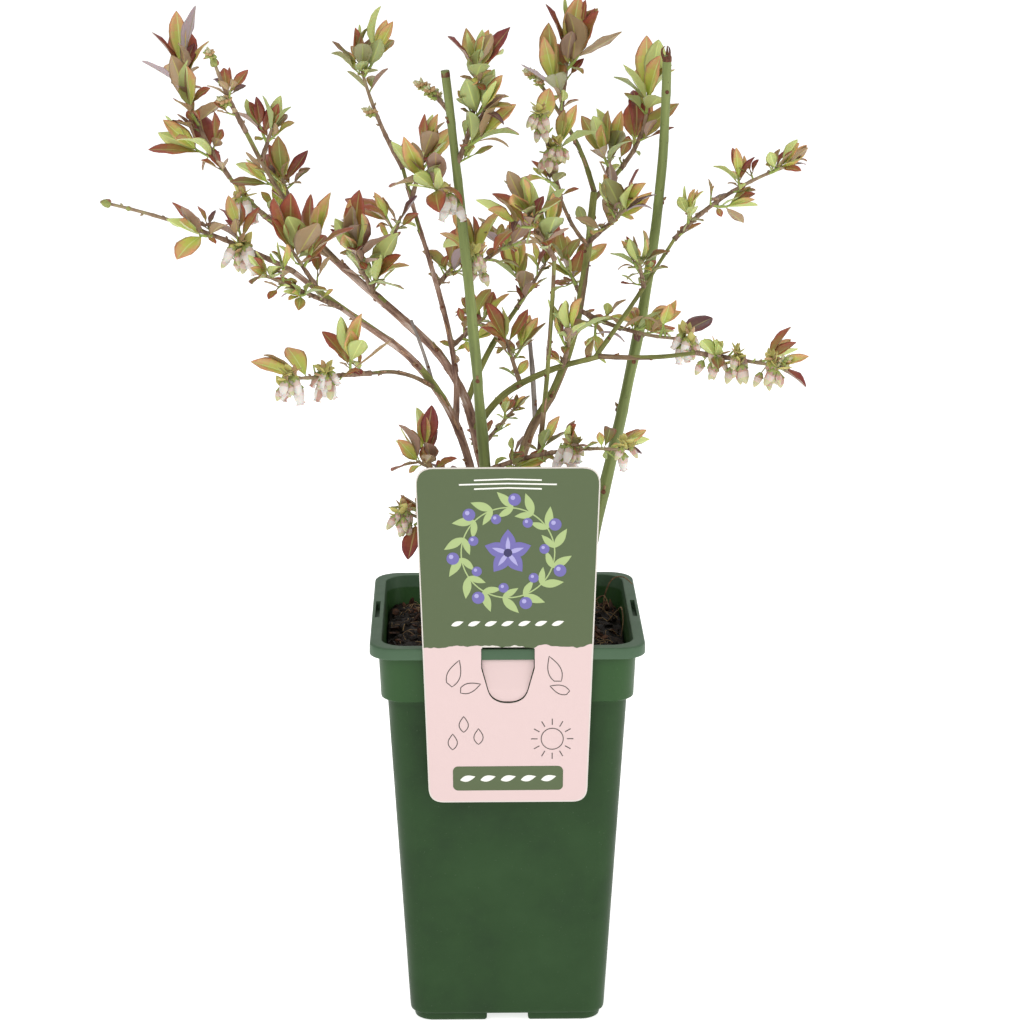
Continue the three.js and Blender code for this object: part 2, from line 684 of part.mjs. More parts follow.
addPart("pot", makePot(), MATERIALS.pot);
addPart("soil", makeSoil(), MATERIALS.soil);
addPart("label", makeLabel(), MATERIALS.label);
for (const [name, body] of Object.entries(makeLimbs())) {
  const kind = name.split("_")[0];
  addPart(name, body, MATERIALS[kind] ?? MATERIALS.bark);
}
Object.keys(SPRAYS).forEach((name, index) => {
  addPart(name, makeSpray(name, index), MATERIALS.foliage);
});

export default bush;
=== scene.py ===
# The looks of a young blueberry bush in a deep square nursery pot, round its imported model.
# The sizes are in millimetres, and MM turns them into Blender's metres. Limbs and masses of
# foliage grow by the rule that the solids follow.
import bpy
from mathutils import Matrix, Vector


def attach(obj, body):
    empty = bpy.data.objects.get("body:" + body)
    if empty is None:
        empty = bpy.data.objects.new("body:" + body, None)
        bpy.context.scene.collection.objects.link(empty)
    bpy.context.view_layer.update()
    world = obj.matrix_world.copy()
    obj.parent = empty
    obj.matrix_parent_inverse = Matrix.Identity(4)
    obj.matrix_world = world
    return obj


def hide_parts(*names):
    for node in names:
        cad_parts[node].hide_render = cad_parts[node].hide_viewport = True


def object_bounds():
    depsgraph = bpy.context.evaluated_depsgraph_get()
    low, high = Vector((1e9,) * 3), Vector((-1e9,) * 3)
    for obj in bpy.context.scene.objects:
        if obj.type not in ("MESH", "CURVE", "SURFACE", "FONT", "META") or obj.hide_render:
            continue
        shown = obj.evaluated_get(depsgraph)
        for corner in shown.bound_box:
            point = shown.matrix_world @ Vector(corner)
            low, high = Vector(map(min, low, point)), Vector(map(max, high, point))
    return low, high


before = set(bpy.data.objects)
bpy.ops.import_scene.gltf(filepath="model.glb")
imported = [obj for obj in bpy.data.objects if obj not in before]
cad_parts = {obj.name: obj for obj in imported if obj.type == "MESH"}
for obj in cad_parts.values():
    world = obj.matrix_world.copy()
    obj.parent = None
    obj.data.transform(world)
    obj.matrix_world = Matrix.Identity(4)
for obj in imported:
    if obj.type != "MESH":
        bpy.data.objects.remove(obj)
cad_box = [list(corner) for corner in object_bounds()]

import math

import bpy
import numpy as np
from mathutils import Vector, noise

MM = 0.001
GAP = 0.3
UP = np.array([0, 0, 1.0])

# ---- driving dimensions ----------------------------------------------------------------------
POT = {
    "height": 227, "corner": 14,
    "lip": {"half": 75, "skirt_bottom": 220.5, "skirt": 1.8, "flange": 2},
    "collar": {"bottom": 194.5, "half_top": 70.4, "half_bottom": 69},
    "body": {"half_top": 65.6, "half_bottom": 54.5},
    "wall": 2, "floor": {"bottom": 5, "thickness": 2},
    "feet": {"half": 52, "half_top": 52.5, "inner": 40, "corner": 9.5, "notch": 23},
    "boss": 7, "drain": {"radius": 4.5, "at": 27},
    "slot": {"length": 31, "near": 70.6, "far": 73.1, "depth": 4, "beside": 0.3, "rib": 1.2},
    "bow": {"depth": 0.5, "width": 0.78},
}
SOIL_LEVEL = 212
LABEL = {
    "top": 328, "bottom": 139.7, "half_top": 49.5, "half_bottom": 43,
    "corner_top": 10, "corner_bottom": 8, "back": 75.4, "thickness": 0.8,
    "tongue": {"half": 14, "shoulder": 216, "point": 197, "back": 71.3, "forward": 3},
    "window_edge": 0.45, "tear": 228.6,
}
LIMB = {"step": 28, "flare": 1.5, "flare_height": 14}
TWIG = {"step": 18, "root": 1.5, "tip": 0.8}
SPUR = {
    "gap": 22, "first": 0.6, "spread": 0.92, "turn_more": 50, "turn_of_mass": 40,
    "lean": 45, "lean_more": 20, "length": 9, "length_more": 6, "rise": 0.35,
}
TUFT = {"leaves": 4, "bare": 3, "last": 0.97, "turn": 144, "turn_more": 12}
LEAF = {
    "length": 23, "shortest": 0.75, "longest": 1.15, "half_width": 0.22,
    "lean_first": 75, "lean_last": 22, "lean_more": 8, "rise": 0.25, "tilt": 0.45,
    "tested": [0.3, 0.5, 0.75, 1], "grown": 1.18,
}
BELL = {"count": 3, "length": 14, "lean": 10, "lean_more": 40, "turn_more": 60, "crowded": 12}
SPACE = {"margin": 1, "limb_clear": 0.8, "label_clear": 4, "pot_clear": 3}
DICE = {"seed_step": 7919, "seed_start": 104729, "factor": 48271, "modulus": 2147483647}
# Leaves, buds and flowers follow one another round a stem by this turn, in degrees.
TURN = 137.5

# Limbs: what carries each, its foot on the soil or its place along the carrier, its length, its
# radii at foot and tip, its headings as (lean from upright, compass angle), and how old its bark
# looks, from 0, smooth and green, to 1, brown and peeling.
LIMBS = {
    "cane_front": (None, (-5, -15), 325, (3.6, 2.3), ((5, 230), (10, 230)), 0),
    "cane_right": (None, (38, 22), 325, (3.9, 2.5), ((15, 20), (12, 20), (0, 0)), 0),
    "stem_left": (
        None, (-13, -3), 260, (2.9, 1.6), ((5, 200), (5, 270), (25, 190), (55, 210), (50, 205)), 0.75,
    ),
    "stem_main": (
        None, (-4, 3), 245, (3.4, 2), ((5, 150), (5, 150), (15, 175), (50, 170), (50, 165)), 1,
    ),
    "stem_right": (
        None, (8, 0), 255, (3.3, 2), ((10, 90), (10, 110), (30, 15), (20, 60), (10, 60)), 0.45,
    ),
    "stem_thin": (None, (14, -9), 225, (1.7, 1.2), ((10, 260), (10, 305), (10, 280)), 0.7),
    "bough_left_rear": ("stem_main", 1, 90, (1.8, 1.2), ((80, 140), (55, 130)), 0.6),
    "bough_left_upper": ("stem_main", 0.98, 115, (1.7, 1.1), ((50, 230), (40, 245)), 0.55),
    "bough_middle": (
        "stem_left", 0.48, 155, (1.8, 1.1), ((30, 80), (35, 110), (35, 120), (25, 125)), 0.8,
    ),
    "bough_inner_left": ("stem_main", 0.88, 25, (1.4, 1), ((40, 55),), 0.8),
    "bough_arching": ("stem_main", 0.48, 95, (2.1, 1.6), ((35, 320), (60, 330), (75, 335)), 0.35),
    "bough_right_low": ("bough_arching", 1, 70, (1.5, 1.1), ((85, 315), (75, 315)), 0.5),
    "bough_right_rising": ("bough_arching", 0.97, 90, (1.4, 1), ((55, 50), (50, 50)), 0.35),
    "bough_inner_right": ("stem_main", 0.54, 75, (1.9, 1.3), ((50, 70), (60, 55)), 0.15),
    "bough_right_rear": ("stem_right", 1, 95, (1.7, 1), ((55, 100), (60, 110), (40, 150)), 0.6),
    "bough_right_top": ("stem_right", 0.98, 25, (1.5, 1.2), ((50, 35),), 0.6),
    "bough_right_front": ("stem_right", 0.88, 55, (1.3, 1), ((60, 245), (45, 250)), 0.65),
    "bough_low_left": ("stem_left", 0.58, 65, (1.3, 1), ((60, 235), (85, 240)), 0.7),
    "dead_stub": ("stem_right", 0.47, 60, (1.5, 1.3), ((10, 100), (20, 110)), 1),
    "dead_twig": ("stem_left", 0.58, 40, (1.1, 0.8), ((30, 120), (35, 130)), 1),
}
# Masses of foliage, whose nodes have spray_ before these names: carrier, place on it, length,
# headings, the leafy stretch of the stem, where bunches of bells hang, how far the leaves have
# turned bronze and red, from 0 to 1, and vigour: how large its leaves and spurs grow.
SPRAYS = {
    "far_left": ("stem_left", 1, 110, ((60, 195), (75, 195)), (0, 0.55), (0.25,), 0.9, 0.85),
    "left_fork": ("stem_left", 0.93, 30, ((35, 215),), (0, 1), (), 0.9, 1),
    "left_twig": ("bough_left_rear", 0.35, 35, ((50, 205),), (0.1, 0.6), (0.95,), 0.5, 0.7),
    "left_inner": ("stem_left", 0.86, 60, ((65, 225),), (0, 1), (), 0.65, 0.6),
    "top_left": ("bough_left_upper", 1, 45, ((30, 210), (20, 215)), (0.2, 0.6), (), 0.85, 0.6),
    "upper_side": ("bough_left_upper", 0.8, 18, ((20, 20),), (0, 1), (), 0.6, 0.85),
    "rear_left": ("bough_left_rear", 1, 70, ((40, 160), (20, 120)), (0, 1), (), 0.95, 1),
    "left_mid": ("bough_left_upper", 0.45, 18, ((35, 120),), (0, 1), (), 0.6, 0.8),
    "crown_left": ("stem_main", 0.87, 45, ((50, 255),), (0, 1), (), 0.7, 1),
    "inner_left": ("bough_inner_left", 1, 25, ((45, 65),), (0, 1), (), 0.7, 0.9),
    "low_left": ("bough_low_left", 1, 50, ((85, 220),), (0, 1), (0.6, 1), 0.75, 0.9),
    "top_middle": ("bough_middle", 1, 65, ((35, 150), (20, 135)), (0.7, 1), (), 0.2, 1),
    "middle_side": ("bough_middle", 0.88, 28, ((25, 50),), (0, 1), (), 0.65, 0.9),
    "middle_rear": ("bough_middle", 0.54, 18, ((65, 60),), (0, 1), (), 0.4, 0.8),
    "middle_low": ("bough_middle", 0.3, 40, ((75, 60),), (0, 1), (), 0.5, 0.7),
    "cane_top": ("cane_front", 0.84, 60, ((30, 320), (20, 265)), (0, 1), (), 0.35, 1),
    "cane_bud": ("cane_front", 0.93, 18, ((45, 155),), (0, 1), (0.9,), 0.3, 0.6),
    "cane_left": ("cane_front", 0.78, 28, ((60, 215),), (0, 1), (0.2,), 0.75, 0.9),
    "cane_right": ("cane_front", 0.66, 50, ((80, 60),), (0, 1), (0.3,), 0.5, 0.9),
    "inner_right": ("bough_inner_right", 1, 40, ((60, 60),), (0, 1), (), 0.55, 1),
    "centre": ("stem_thin", 1, 45, ((50, 245),), (0, 1), (), 0.5, 1),
    "arch": ("bough_arching", 0.76, 30, ((40, 280),), (0, 1), (), 0.4, 0.8),
    "arch_back": ("bough_arching", 0.45, 28, ((35, 120),), (0, 1), (), 0.4, 0.8),
    "front_right": ("bough_right_front", 1, 55, ((30, 245),), (0, 1), (0.6, 1), 0.2, 0.8),
    "rear_right": ("bough_right_rear", 0.7, 35, ((15, 60),), (0, 1), (), 0.45, 1),
    "rear_side": ("bough_right_top", 0.4, 22, ((15, 40),), (0, 1), (), 0.4, 0.8),
    "top_right": ("bough_right_top", 1, 50, ((50, 35), (25, 90)), (0, 1), (), 0.3, 1),
    "right_heart": ("stem_right", 0.89, 50, ((60, 295),), (0, 1), (), 0.5, 1.1),
    "right_back": ("stem_right", 0.77, 45, ((75, 100),), (0, 1), (), 0.5, 0.8),
    "right_tip": ("bough_right_rising", 1, 85, ((55, 40), (75, 15)), (0, 1), (), 0.7, 0.65),
    "cane_cross": ("bough_right_rising", 0.6, 25, ((50, 260),), (0, 1), (), 0.4, 0.7),
    "low_right": ("bough_right_low", 1, 50, ((90, 320),), (0, 1), (0.15, 0.5, 0.9), 0.5, 0.7),
    "mid_right": ("stem_right", 0.74, 75, ((105, 315), (85, 320)), (0, 1), (1,), 0.5, 0.9),
    "foot_right": ("cane_front", 0.31, 90, ((65, 335), (85, 320)), (0, 1), (0.6, 1), 0.4, 0.8),
    "foot_back": ("stem_main", 0.43, 50, ((75, 65),), (0, 1), (), 0.4, 0.5),
    "foot_left": ("stem_left", 0.33, 45, ((60, 215),), (0, 1), (), 0.75, 0.9),
    "pot_left": ("stem_left", 0.22, 60, ((65, 225),), (0, 1), (1,), 0.4, 0.9),
}


# ---- colours and materials -------------------------------------------------------------------
def colour(code):
    """A colour written as #rrggbb, as the screen shows it, in Blender's linear light."""
    parts = [value / 255 for value in bytes.fromhex(code[1:])]
    return (*[p / 12.92 if p <= 0.04045 else ((p + 0.055) / 1.055) ** 2.4 for p in parts], 1)


def between(codes, share):
    """The colour at a share of the way through a row of #rrggbb codes."""
    place = share * (len(codes) - 1)
    low = min(int(place), len(codes) - 2)
    pair = [bytes.fromhex(code[1:]) for code in codes[low:low + 2]]
    return "#" + "".join(f"{round(a + (b - a) * (place - low)):02x}" for a, b in zip(*pair))


STRAIGHT = "straight"


class Paint:
    """A node material round one Principled shader. Its own sockets hold what doesn't vary."""

    def __init__(self, name, code, roughness, on_limb=False, **sockets):
        self.material = bpy.data.materials.new(name)
        self.material.use_nodes = True
        self.material.diffuse_color = colour(code)
        self.tree = self.material.node_tree
        self.shader = self.tree.nodes["Principled BSDF"]
        self.set(Base_Color=colour(code), Roughness=roughness, **sockets)
        if on_limb:
            # The skin of a limb holds the places that it has on a straight, upright one.
            held = self.add("Attribute")
            held.attribute_name = STRAIGHT
            self.place = held.outputs["Vector"]
        else:
            self.place = self.add("TexCoord").outputs["Object"]

    def feed(self, inputs, values):
        """Links each named input to another socket, or gives it a value."""
        for name, value in values.items():
            socket = inputs[name.replace("_", " ")]
            if isinstance(value, bpy.types.NodeSocket):
                self.tree.links.new(value, socket)
            else:
                socket.default_value = value

    def set(self, **values):
        self.feed(self.shader.inputs, values)

    def add(self, kind, **values):
        node = self.tree.nodes.new("ShaderNode" + kind)
        self.feed(node.inputs, values)
        return node

    def noise(self, scale, detail=4, roughness=0.6, stretch=(1, 1, 1)):
        """Noise in waves a metre, pulled out along an axis by stretch."""
        spot = self.add("Mapping", Vector=self.place, Scale=stretch).outputs[0]
        made = self.add("TexNoise", Vector=spot, Scale=scale, Detail=detail, Roughness=roughness)
        return made.outputs["Fac"]

    def ramp(self, source, stops):
        """Turns a share into colours, by the #rrggbb code for each stop."""
        node = self.add("ValToRGB", Fac=source)
        elements = node.color_ramp.elements
        while len(elements) < len(stops):
            elements.new(0.5)
        for element, (place, code) in zip(elements, stops.items()):
            element.position = place
            element.color = colour(code)
        return node.outputs["Color"]

    def range(self, source, low, high, start=0.3, end=0.7):
        ends = {"From_Min": start, "From_Max": end, "To_Min": low, "To_Max": high}
        return self.add("MapRange", Value=source, **ends).outputs["Result"]

    def bump(self, source, height, strength=1.0):
        """Relief of a height in millimetres. A second call lies on top of the first."""
        node = self.add("Bump", Height=source, Strength=strength, Distance=height * MM)
        under = self.shader.inputs["Normal"]
        if under.is_linked:
            self.tree.links.new(under.links[0].from_socket, node.inputs["Normal"])
        self.set(Normal=node.outputs["Normal"])

    def over(self, share, tone, code):
        """Lays a colour over a tone by a share."""
        node = self.add("Mix", Factor=share)
        node.data_type = "RGBA"
        self.tree.links.new(tone, node.inputs[6])
        node.inputs[7].default_value = colour(code)
        return node.outputs[2]


def pot_paint():
    paint = Paint("pot_green", "#264220", 0.42, Specular_IOR_Level=0.2)
    tone = paint.ramp(paint.noise(22, 5), {0.3: "#213a1d", 0.5: "#264220", 0.72: "#2b4825"})
    level = paint.add("SeparateXYZ", Vector=paint.place).outputs["Z"]
    # Painted light: above the collar's lower edge the pot is painted paler, as light falling from above,
    # and from the skirt's lower edge up over the whole lip paler still, as a painted reflection of the
    # bright surroundings.
    painted_light_bands = ((POT["collar"]["bottom"], 3, "#30502a"), (POT["lip"]["skirt_bottom"], 1, "#4a634b"))
    for edge, width, painted_light_code in painted_light_bands:
        tone = paint.over(paint.range(level, 0, 1, (edge - width) * MM, edge * MM), tone, painted_light_code)
    dust = paint.range(paint.noise(900, 2), 0, 0.35, 0.68, 0.78)
    gloss = paint.range(paint.noise(60, 6), 0.34, 0.5)
    paint.set(Base_Color=paint.over(dust, tone, "#5f7058"), Roughness=gloss)
    paint.bump(paint.noise(38, 3), 0.25, 0.5)
    paint.bump(paint.noise(1500, 2), 0.02, 0.5)
    return paint.material


def soil_paint(name, codes, scale=260):
    paint = Paint(name, codes[1], 0.85, Specular_IOR_Level=0.35)
    grain = paint.noise(scale, 8, 0.7)
    tone = paint.ramp(grain, dict(zip((0.36, 0.52, 0.68), codes)))
    paint.set(Base_Color=tone, Roughness=paint.range(grain, 0.6, 0.95))
    paint.bump(paint.noise(scale * 3, 6, 0.7), 0.6)
    return paint.material


def cane_paint():
    paint = Paint("cane_green", "#748048", 0.5, True, Specular_IOR_Level=0.3)
    streak = paint.noise(190, 6, 0.65, (1, 1, 0.06))
    tone = paint.ramp(streak, {0.3: "#5f683a", 0.46: "#748048", 0.6: "#869157", 0.74: "#a0a76d"})
    spot = paint.range(paint.noise(420, 2, 0.5), 0, 0.8, 0.68, 0.74)
    gloss = paint.range(streak, 0.42, 0.62)
    paint.set(Base_Color=paint.over(spot, tone, "#514a2c"), Roughness=gloss)
    paint.bump(paint.noise(600, 4, 0.6, (1, 1, 0.2)), 0.15)
    return paint.material


def bark_paint(name, stops, scale=300, height=0.5, on_limb=True):
    """Bark that runs in long flakes and fine cracks, with patches of its palest tone."""
    codes = list(stops.values())
    paint = Paint(name, codes[1], 0.8, on_limb, Specular_IOR_Level=0.25)
    flake = paint.noise(scale, 8, 0.68, (1, 1, 0.14))
    patch = paint.range(paint.noise(95, 4, 0.55, (1, 1, 0.4)), 0, 0.45, 0.58, 0.7)
    tone = paint.over(patch, paint.ramp(flake, stops), codes[-1])
    paint.set(Base_Color=tone, Roughness=paint.range(flake, 0.65, 0.92))
    paint.bump(paint.noise(scale * 2.2, 6, 0.7, (1, 1, 0.2)), height)
    return paint.material


# Thin skins of one plain colour: roughness, further sockets, the noise that varies the gloss as
# (scale, detail, least, most), and the relief as (scale, detail, height, strength).
SKINS = {
    "leaf": (
        0.4, {"Specular_IOR_Level": 0.4, "Subsurface_Weight": 0.12, "Subsurface_Scale": 0.6 * MM},
        (700, 3, 0.34, 0.5), (1300, 4, 0.12, 0.6),
    ),
    "petal": (0.45, {"Subsurface_Weight": 0.25, "Subsurface_Scale": MM}, (), (900, 3, 0.08, 0.5)),
    "print": (0.42, {"Specular_IOR_Level": 0.4}, (400, 3, 0.36, 0.48), (1200, 2, 0.01, 0.5)),
}


def skin_paints(kind, **codes):
    """Paints for leaves and buds, petals or print, one for each name and its colour."""
    roughness, sockets, gloss, (scale, detail, height, strength) = SKINS[kind]
    made = []
    for name, code in codes.items():
        paint = Paint(name, code, roughness, **sockets)
        if gloss:
            paint.set(Roughness=paint.range(paint.noise(*gloss[:2]), *gloss[2:]))
        paint.bump(paint.noise(scale, detail), height, strength)
        made.append(paint.material)
    return made


# ---- meshes ----------------------------------------------------------------------------------
class Pile:
    """Many shapes gathered into one mesh. Each face carries the number of its material."""

    def __init__(self):
        self.points, self.faces, self.marks, self.count = [], [], [], 0

    def add(self, points, *groups):
        """Adds points, and groups of faces on them, each with its mark or marks."""
        for faces, mark in groups:
            self.faces.append(np.asarray(faces) + self.count)
            self.marks.append(np.broadcast_to(mark, len(faces)))
        self.points.append(np.asarray(points, float))
        self.count += len(points)


def mesh_of(name, pile, smooth=False):
    mesh = bpy.data.meshes.new(name)
    faces = [face for group in pile.faces for face in group.tolist()]
    mesh.from_pydata((np.concatenate(pile.points) * MM).tolist(), [], faces)
    mesh.polygons.foreach_set("material_index", np.concatenate(pile.marks))
    mesh.polygons.foreach_set("use_smooth", np.full(len(faces), smooth))
    return mesh


def in_scene(name, data):
    made = bpy.data.objects.new(name, data)
    bpy.context.scene.collection.objects.link(made)
    return made


def piece_of(name, shape, paints, replaced=(), smooth=True):
    """Gathered shapes, or a mesh that is cut already, as one named piece of the plant."""
    mesh = mesh_of(name, shape, smooth) if isinstance(shape, Pile) else shape
    for paint in paints:
        mesh.materials.append(paint)
    piece = in_scene(name, mesh)
    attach(piece, "root")
    if replaced:
        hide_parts(*replaced)
    return piece


def cut_mesh(name, pile, added=(), taken=()):
    """A mesh of gathered shapes, with more shapes joined on and then others cut out."""
    target = in_scene(name, mesh_of(name, pile))
    for operation, tools in (("UNION", added), ("DIFFERENCE", taken)):
        for tool in tools:
            modifier = target.modifiers.new("cut", "BOOLEAN")
            modifier.operation = operation
            modifier.solver = "EXACT"
            modifier.object = in_scene("tool", mesh_of("tool", tool))
            bpy.context.view_layer.update()
            done = target.evaluated_get(bpy.context.evaluated_depsgraph_get())
            mesh = bpy.data.meshes.new_from_object(done)
            bpy.data.objects.remove(modifier.object)
            target.modifiers.clear()
            target.data = mesh
    bpy.data.objects.remove(target)
    mesh.materials.clear()
    mesh.name = name
    return mesh


def quads(grid):
    """The faces between the rows and columns of a grid of point numbers."""
    return np.stack([grid[:-1, :-1], grid[:-1, 1:], grid[1:, 1:], grid[1:, :-1]], 2).reshape(-1, 4)


def fan(edge, point):
    """Triangles from each stretch of an edge to one point."""
    return np.stack([edge[:-1], edge[1:], np.full(len(edge) - 1, point)], 1)


def loft(pile, rings, mark=0, closed_ends=True):
    """Joins rings of equally many points, and closes both ends with a fan."""
    rings = np.asarray(rings, float)
    grid = np.arange(rings[..., 0].size).reshape(rings.shape[:2])
    grid = np.column_stack([grid, grid[:, 0]])
    points = rings.reshape(-1, 3)
    groups = [(quads(grid), mark)]
    if closed_ends:
        foot, tip = len(points), len(points) + 1
        points = np.vstack([points, rings[0].mean(0), rings[-1].mean(0)])
        ends = np.concatenate([fan(grid[0, ::-1], foot), fan(grid[-1], tip)])
        groups.append((ends, mark if np.isscalar(mark) else mark[-1]))
    pile.add(points, *groups)


def unit(vector):
    return vector / np.linalg.norm(vector)


def mixed(low, high, share):
    return low + (high - low) * share


def smooth_line(points, step):
    """A curve through the points, at even steps."""
    points = np.asarray(points, float)
    padded = np.vstack([2 * points[0] - points[1], points, 2 * points[-1] - points[-2]])
    line = []
    for a, b, c, d in zip(padded, padded[1:], padded[2:], padded[3:]):
        count = max(1, int(np.linalg.norm(c - b) / step + 0.5))
        t = (np.arange(count) / count)[:, None]
        bend = (2 * a - 5 * b + 4 * c - d) * t**2 + (3 * b - a - 3 * c + d) * t**3
        line.append(0.5 * (2 * b + (c - a) * t + bend))
    return np.vstack([*line, points[-1:]])


def frames(line):
    """Two directions across a line at each of its points, carried along it without a twist."""
    ways = np.gradient(line, axis=0)
    ways /= np.linalg.norm(ways, axis=1)[:, None]
    side = unit(np.cross(ways[0], (0.31, 0.87, 0.11)))
    sides = []
    for way in ways:
        side = unit(side - way * side.dot(way))
        sides.append(side)
    return np.array(sides), np.cross(ways, sides)


def angles_of(sides):
    return np.arange(sides) * 2 * math.pi / sides


def ring_of(across, other, sides):
    """Directions all round, from two that lie at right angles."""
    angles = angles_of(sides)[:, None]
    return across[..., None, :] * np.cos(angles) + other[..., None, :] * np.sin(angles)


def tube(pile, line, radii, sides=6, mark=0):
    """A limb, twig or stalk. Its radii run evenly along it, or are told for each point and side."""
    line, radii = np.asarray(line, float), np.asarray(radii, float)
    if radii.ndim < 2:
        given = np.linspace(0, 1, radii.size)
        radii = np.interp(np.linspace(0, 1, len(line)), given, radii.ravel())[:, None]
    loft(pile, line[:, None] + ring_of(*frames(line), sides) * radii[:, :, None], mark)


def turned(pile, base, way, profile, sides=8, mark=0, size=(1, 1), lobes=None):
    """A turned shape such as a bud or a bell: profile is (share along, share of radius) pairs."""
    side = unit(np.cross(way, (0.2, 0.9, 0.3)))
    ring = ring_of(side, np.cross(way, side), sides)
    wave = np.cos(5 * angles_of(sides))[:, None]
    rings = []
    for (place, radius), lobe in zip(profile, lobes or [0] * len(profile)):
        rings.append(base + way * (size[0] * place) + size[1] * radius * (1 + lobe * wave) * ring)
    loft(pile, rings, mark)


# ---- growth ----------------------------------------------------------------------------------
class Dice:
    """The small seeded dice that the solids are grown with."""

    def __init__(self, seed):
        self.state = seed * DICE["seed_step"] + DICE["seed_start"]
        self.roll()
        self.roll()

    def roll(self):
        self.state = self.state * DICE["factor"] % DICE["modulus"]
        return self.state / DICE["modulus"]

    def __call__(self, low, high):
        return mixed(low, high, self.roll())


def heading(lean, compass):
    a, b = math.radians(lean), math.radians(compass)
    return np.array([math.sin(a) * math.cos(b), math.sin(a) * math.sin(b), math.cos(a)])


def grow_line(start, bends, length, step):
    """A line that starts at a point and turns evenly through its headings."""
    headings = [heading(*bend) for bend in bends]
    last = len(headings) - 1
    count = max(3, int(length / step + 0.5))
    line = [np.asarray(start, float)]
    for i in range(count):
        place = (i + 0.5) / count * last
        low = min(int(place), max(last - 1, 0))
        way = unit(mixed(headings[low], headings[min(low + 1, last)], place - low))
        line.append(line[-1] + way * length / count)
    return np.array(line)


def along(line, share):
    place = share * (len(line) - 1)
    low = min(int(place), len(line) - 2)
    return mixed(line[low], line[low + 1], place - low)


def way_at(line, share):
    low = min(int(share * (len(line) - 1)), len(line) - 2)
    return unit(line[low + 1] - line[low])


def lean_off(axis, turn, lean):
    """A direction that leans off an axis, towards a side told by the turn round it."""
    side = unit(np.cross(UP if abs(axis[2]) < 0.9 else (1.0, 0, 0), axis))
    a, b = math.radians(turn), math.radians(lean)
    aside = side * math.cos(a) + np.cross(axis, side) * math.sin(a)
    return unit(axis * math.cos(b) + aside * math.sin(b))


def rising(way, rise):
    return unit(way + UP * rise)


limb_lines = {}
for name, (carrier, at, length, _, bends, _) in LIMBS.items():
    start = along(limb_lines[carrier], at) if carrier else (*at, SOIL_LEVEL + GAP)
    limb_lines[name] = grow_line(start, bends, length, LIMB["step"])
spray_lines = {
    name: grow_line(along(limb_lines[carrier], at), bends, length, TWIG["step"])
    for name, (carrier, at, length, bends, *_) in SPRAYS.items()
}


class Stretches:
    """The straight stretches of several lines, to measure how far a point is from each line."""

    def __init__(self, lines):
        self.starts = np.concatenate([line[:-1] for line in lines.values()])
        self.spans = np.concatenate([line[1:] - line[:-1] for line in lines.values()])
        self.squares = (self.spans**2).sum(1)
        self.firsts = np.cumsum([0] + [len(line) - 1 for line in lines.values()])[:-1]

    def distances(self, point):
        away = point - self.starts
        share = np.clip((away * self.spans).sum(1) / self.squares, 0, 1)
        away = np.linalg.norm(away - self.spans * share[:, None], axis=1)
        return np.minimum.reduceat(away, self.firsts)


spray_stretches = Stretches(spray_lines)
limb_stretches = Stretches(limb_lines)
limb_clearance = np.array([limb[3][0] + SPACE["limb_clear"] for limb in LIMBS.values()])
spray_order = {name: i for i, name in enumerate(SPRAYS)}
reach = [np.array(corner) / MM for corner in cad_box]


def keeps_to_its_space(name, points):
    """A mass keeps to the space that lies nearer its own stem than any other's, and off all else."""
    own = spray_order[name]
    for point in points:
        if point[2] < POT["height"] + SPACE["pot_clear"]:
            return False
        behind = point[1] > SPACE["label_clear"] - LABEL["tongue"]["back"]
        if point[2] < LABEL["top"] + SPACE["pot_clear"] and not behind:
            return False
        away = spray_stretches.distances(point)
        if (np.delete(away, own) < away[own] + SPACE["margin"]).any():
            return False
        if (limb_stretches.distances(point) < limb_clearance).any():
            return False
    return True


def has_room(name, *points):
    """Whether points keep to the space of their mass and to the reach of the plant."""
    inside = all((point > reach[0]).all() and (point < reach[1]).all() for point in points)
    return inside and keeps_to_its_space(name, points)


def grow_shoots(name, dice):
    """Short spurs alternate round a stem, and the stem's own end bears leaves as they do."""
    _, _, length, _, (low, high), _, _, vigour = SPRAYS[name]
    line = spray_lines[name]
    turn = spray_order[name] * SPUR["turn_of_mass"]
    count = max(1, int(length * (high - low) / SPUR["gap"] + 0.5))
    shoots = []
    for k in range(count):
        share = low + (high - low) * (k + SPUR["first"]) * SPUR["spread"] / count
        start = along(line, share)
        side = k * TURN + turn + dice(0, SPUR["turn_more"])
        lean = SPUR["lean"] + dice(0, SPUR["lean_more"])
        way = rising(lean_off(way_at(line, share), side, lean), SPUR["rise"])
        end = start + way * vigour * (SPUR["length"] + dice(0, SPUR["length_more"]))
        if keeps_to_its_space(name, [end]):
            shoots.append((start, end, way, False))
    if high == 1:
        way = way_at(line, 1)
        shoots.append((line[-1] - way * vigour * SPUR["length"], line[-1], way, True))
    return shoots


def outline_points(base, way, face, length, half_width):
    side = np.cross(face, way) * half_width
    middle = base + way * length / 2
    return [middle + side, middle - side] + [base + way * share * length for share in LEAF["tested"]]


def facing(way, *tilt):
    """The direction that a blade faces: upwards, but for its tilt, and square to its way."""
    face = np.array([*tilt, 1.0])
    return unit(face - way * face.dot(way))


def tilted(way, most, dice):
    return facing(way, dice(-most, most), dice(-most, most))


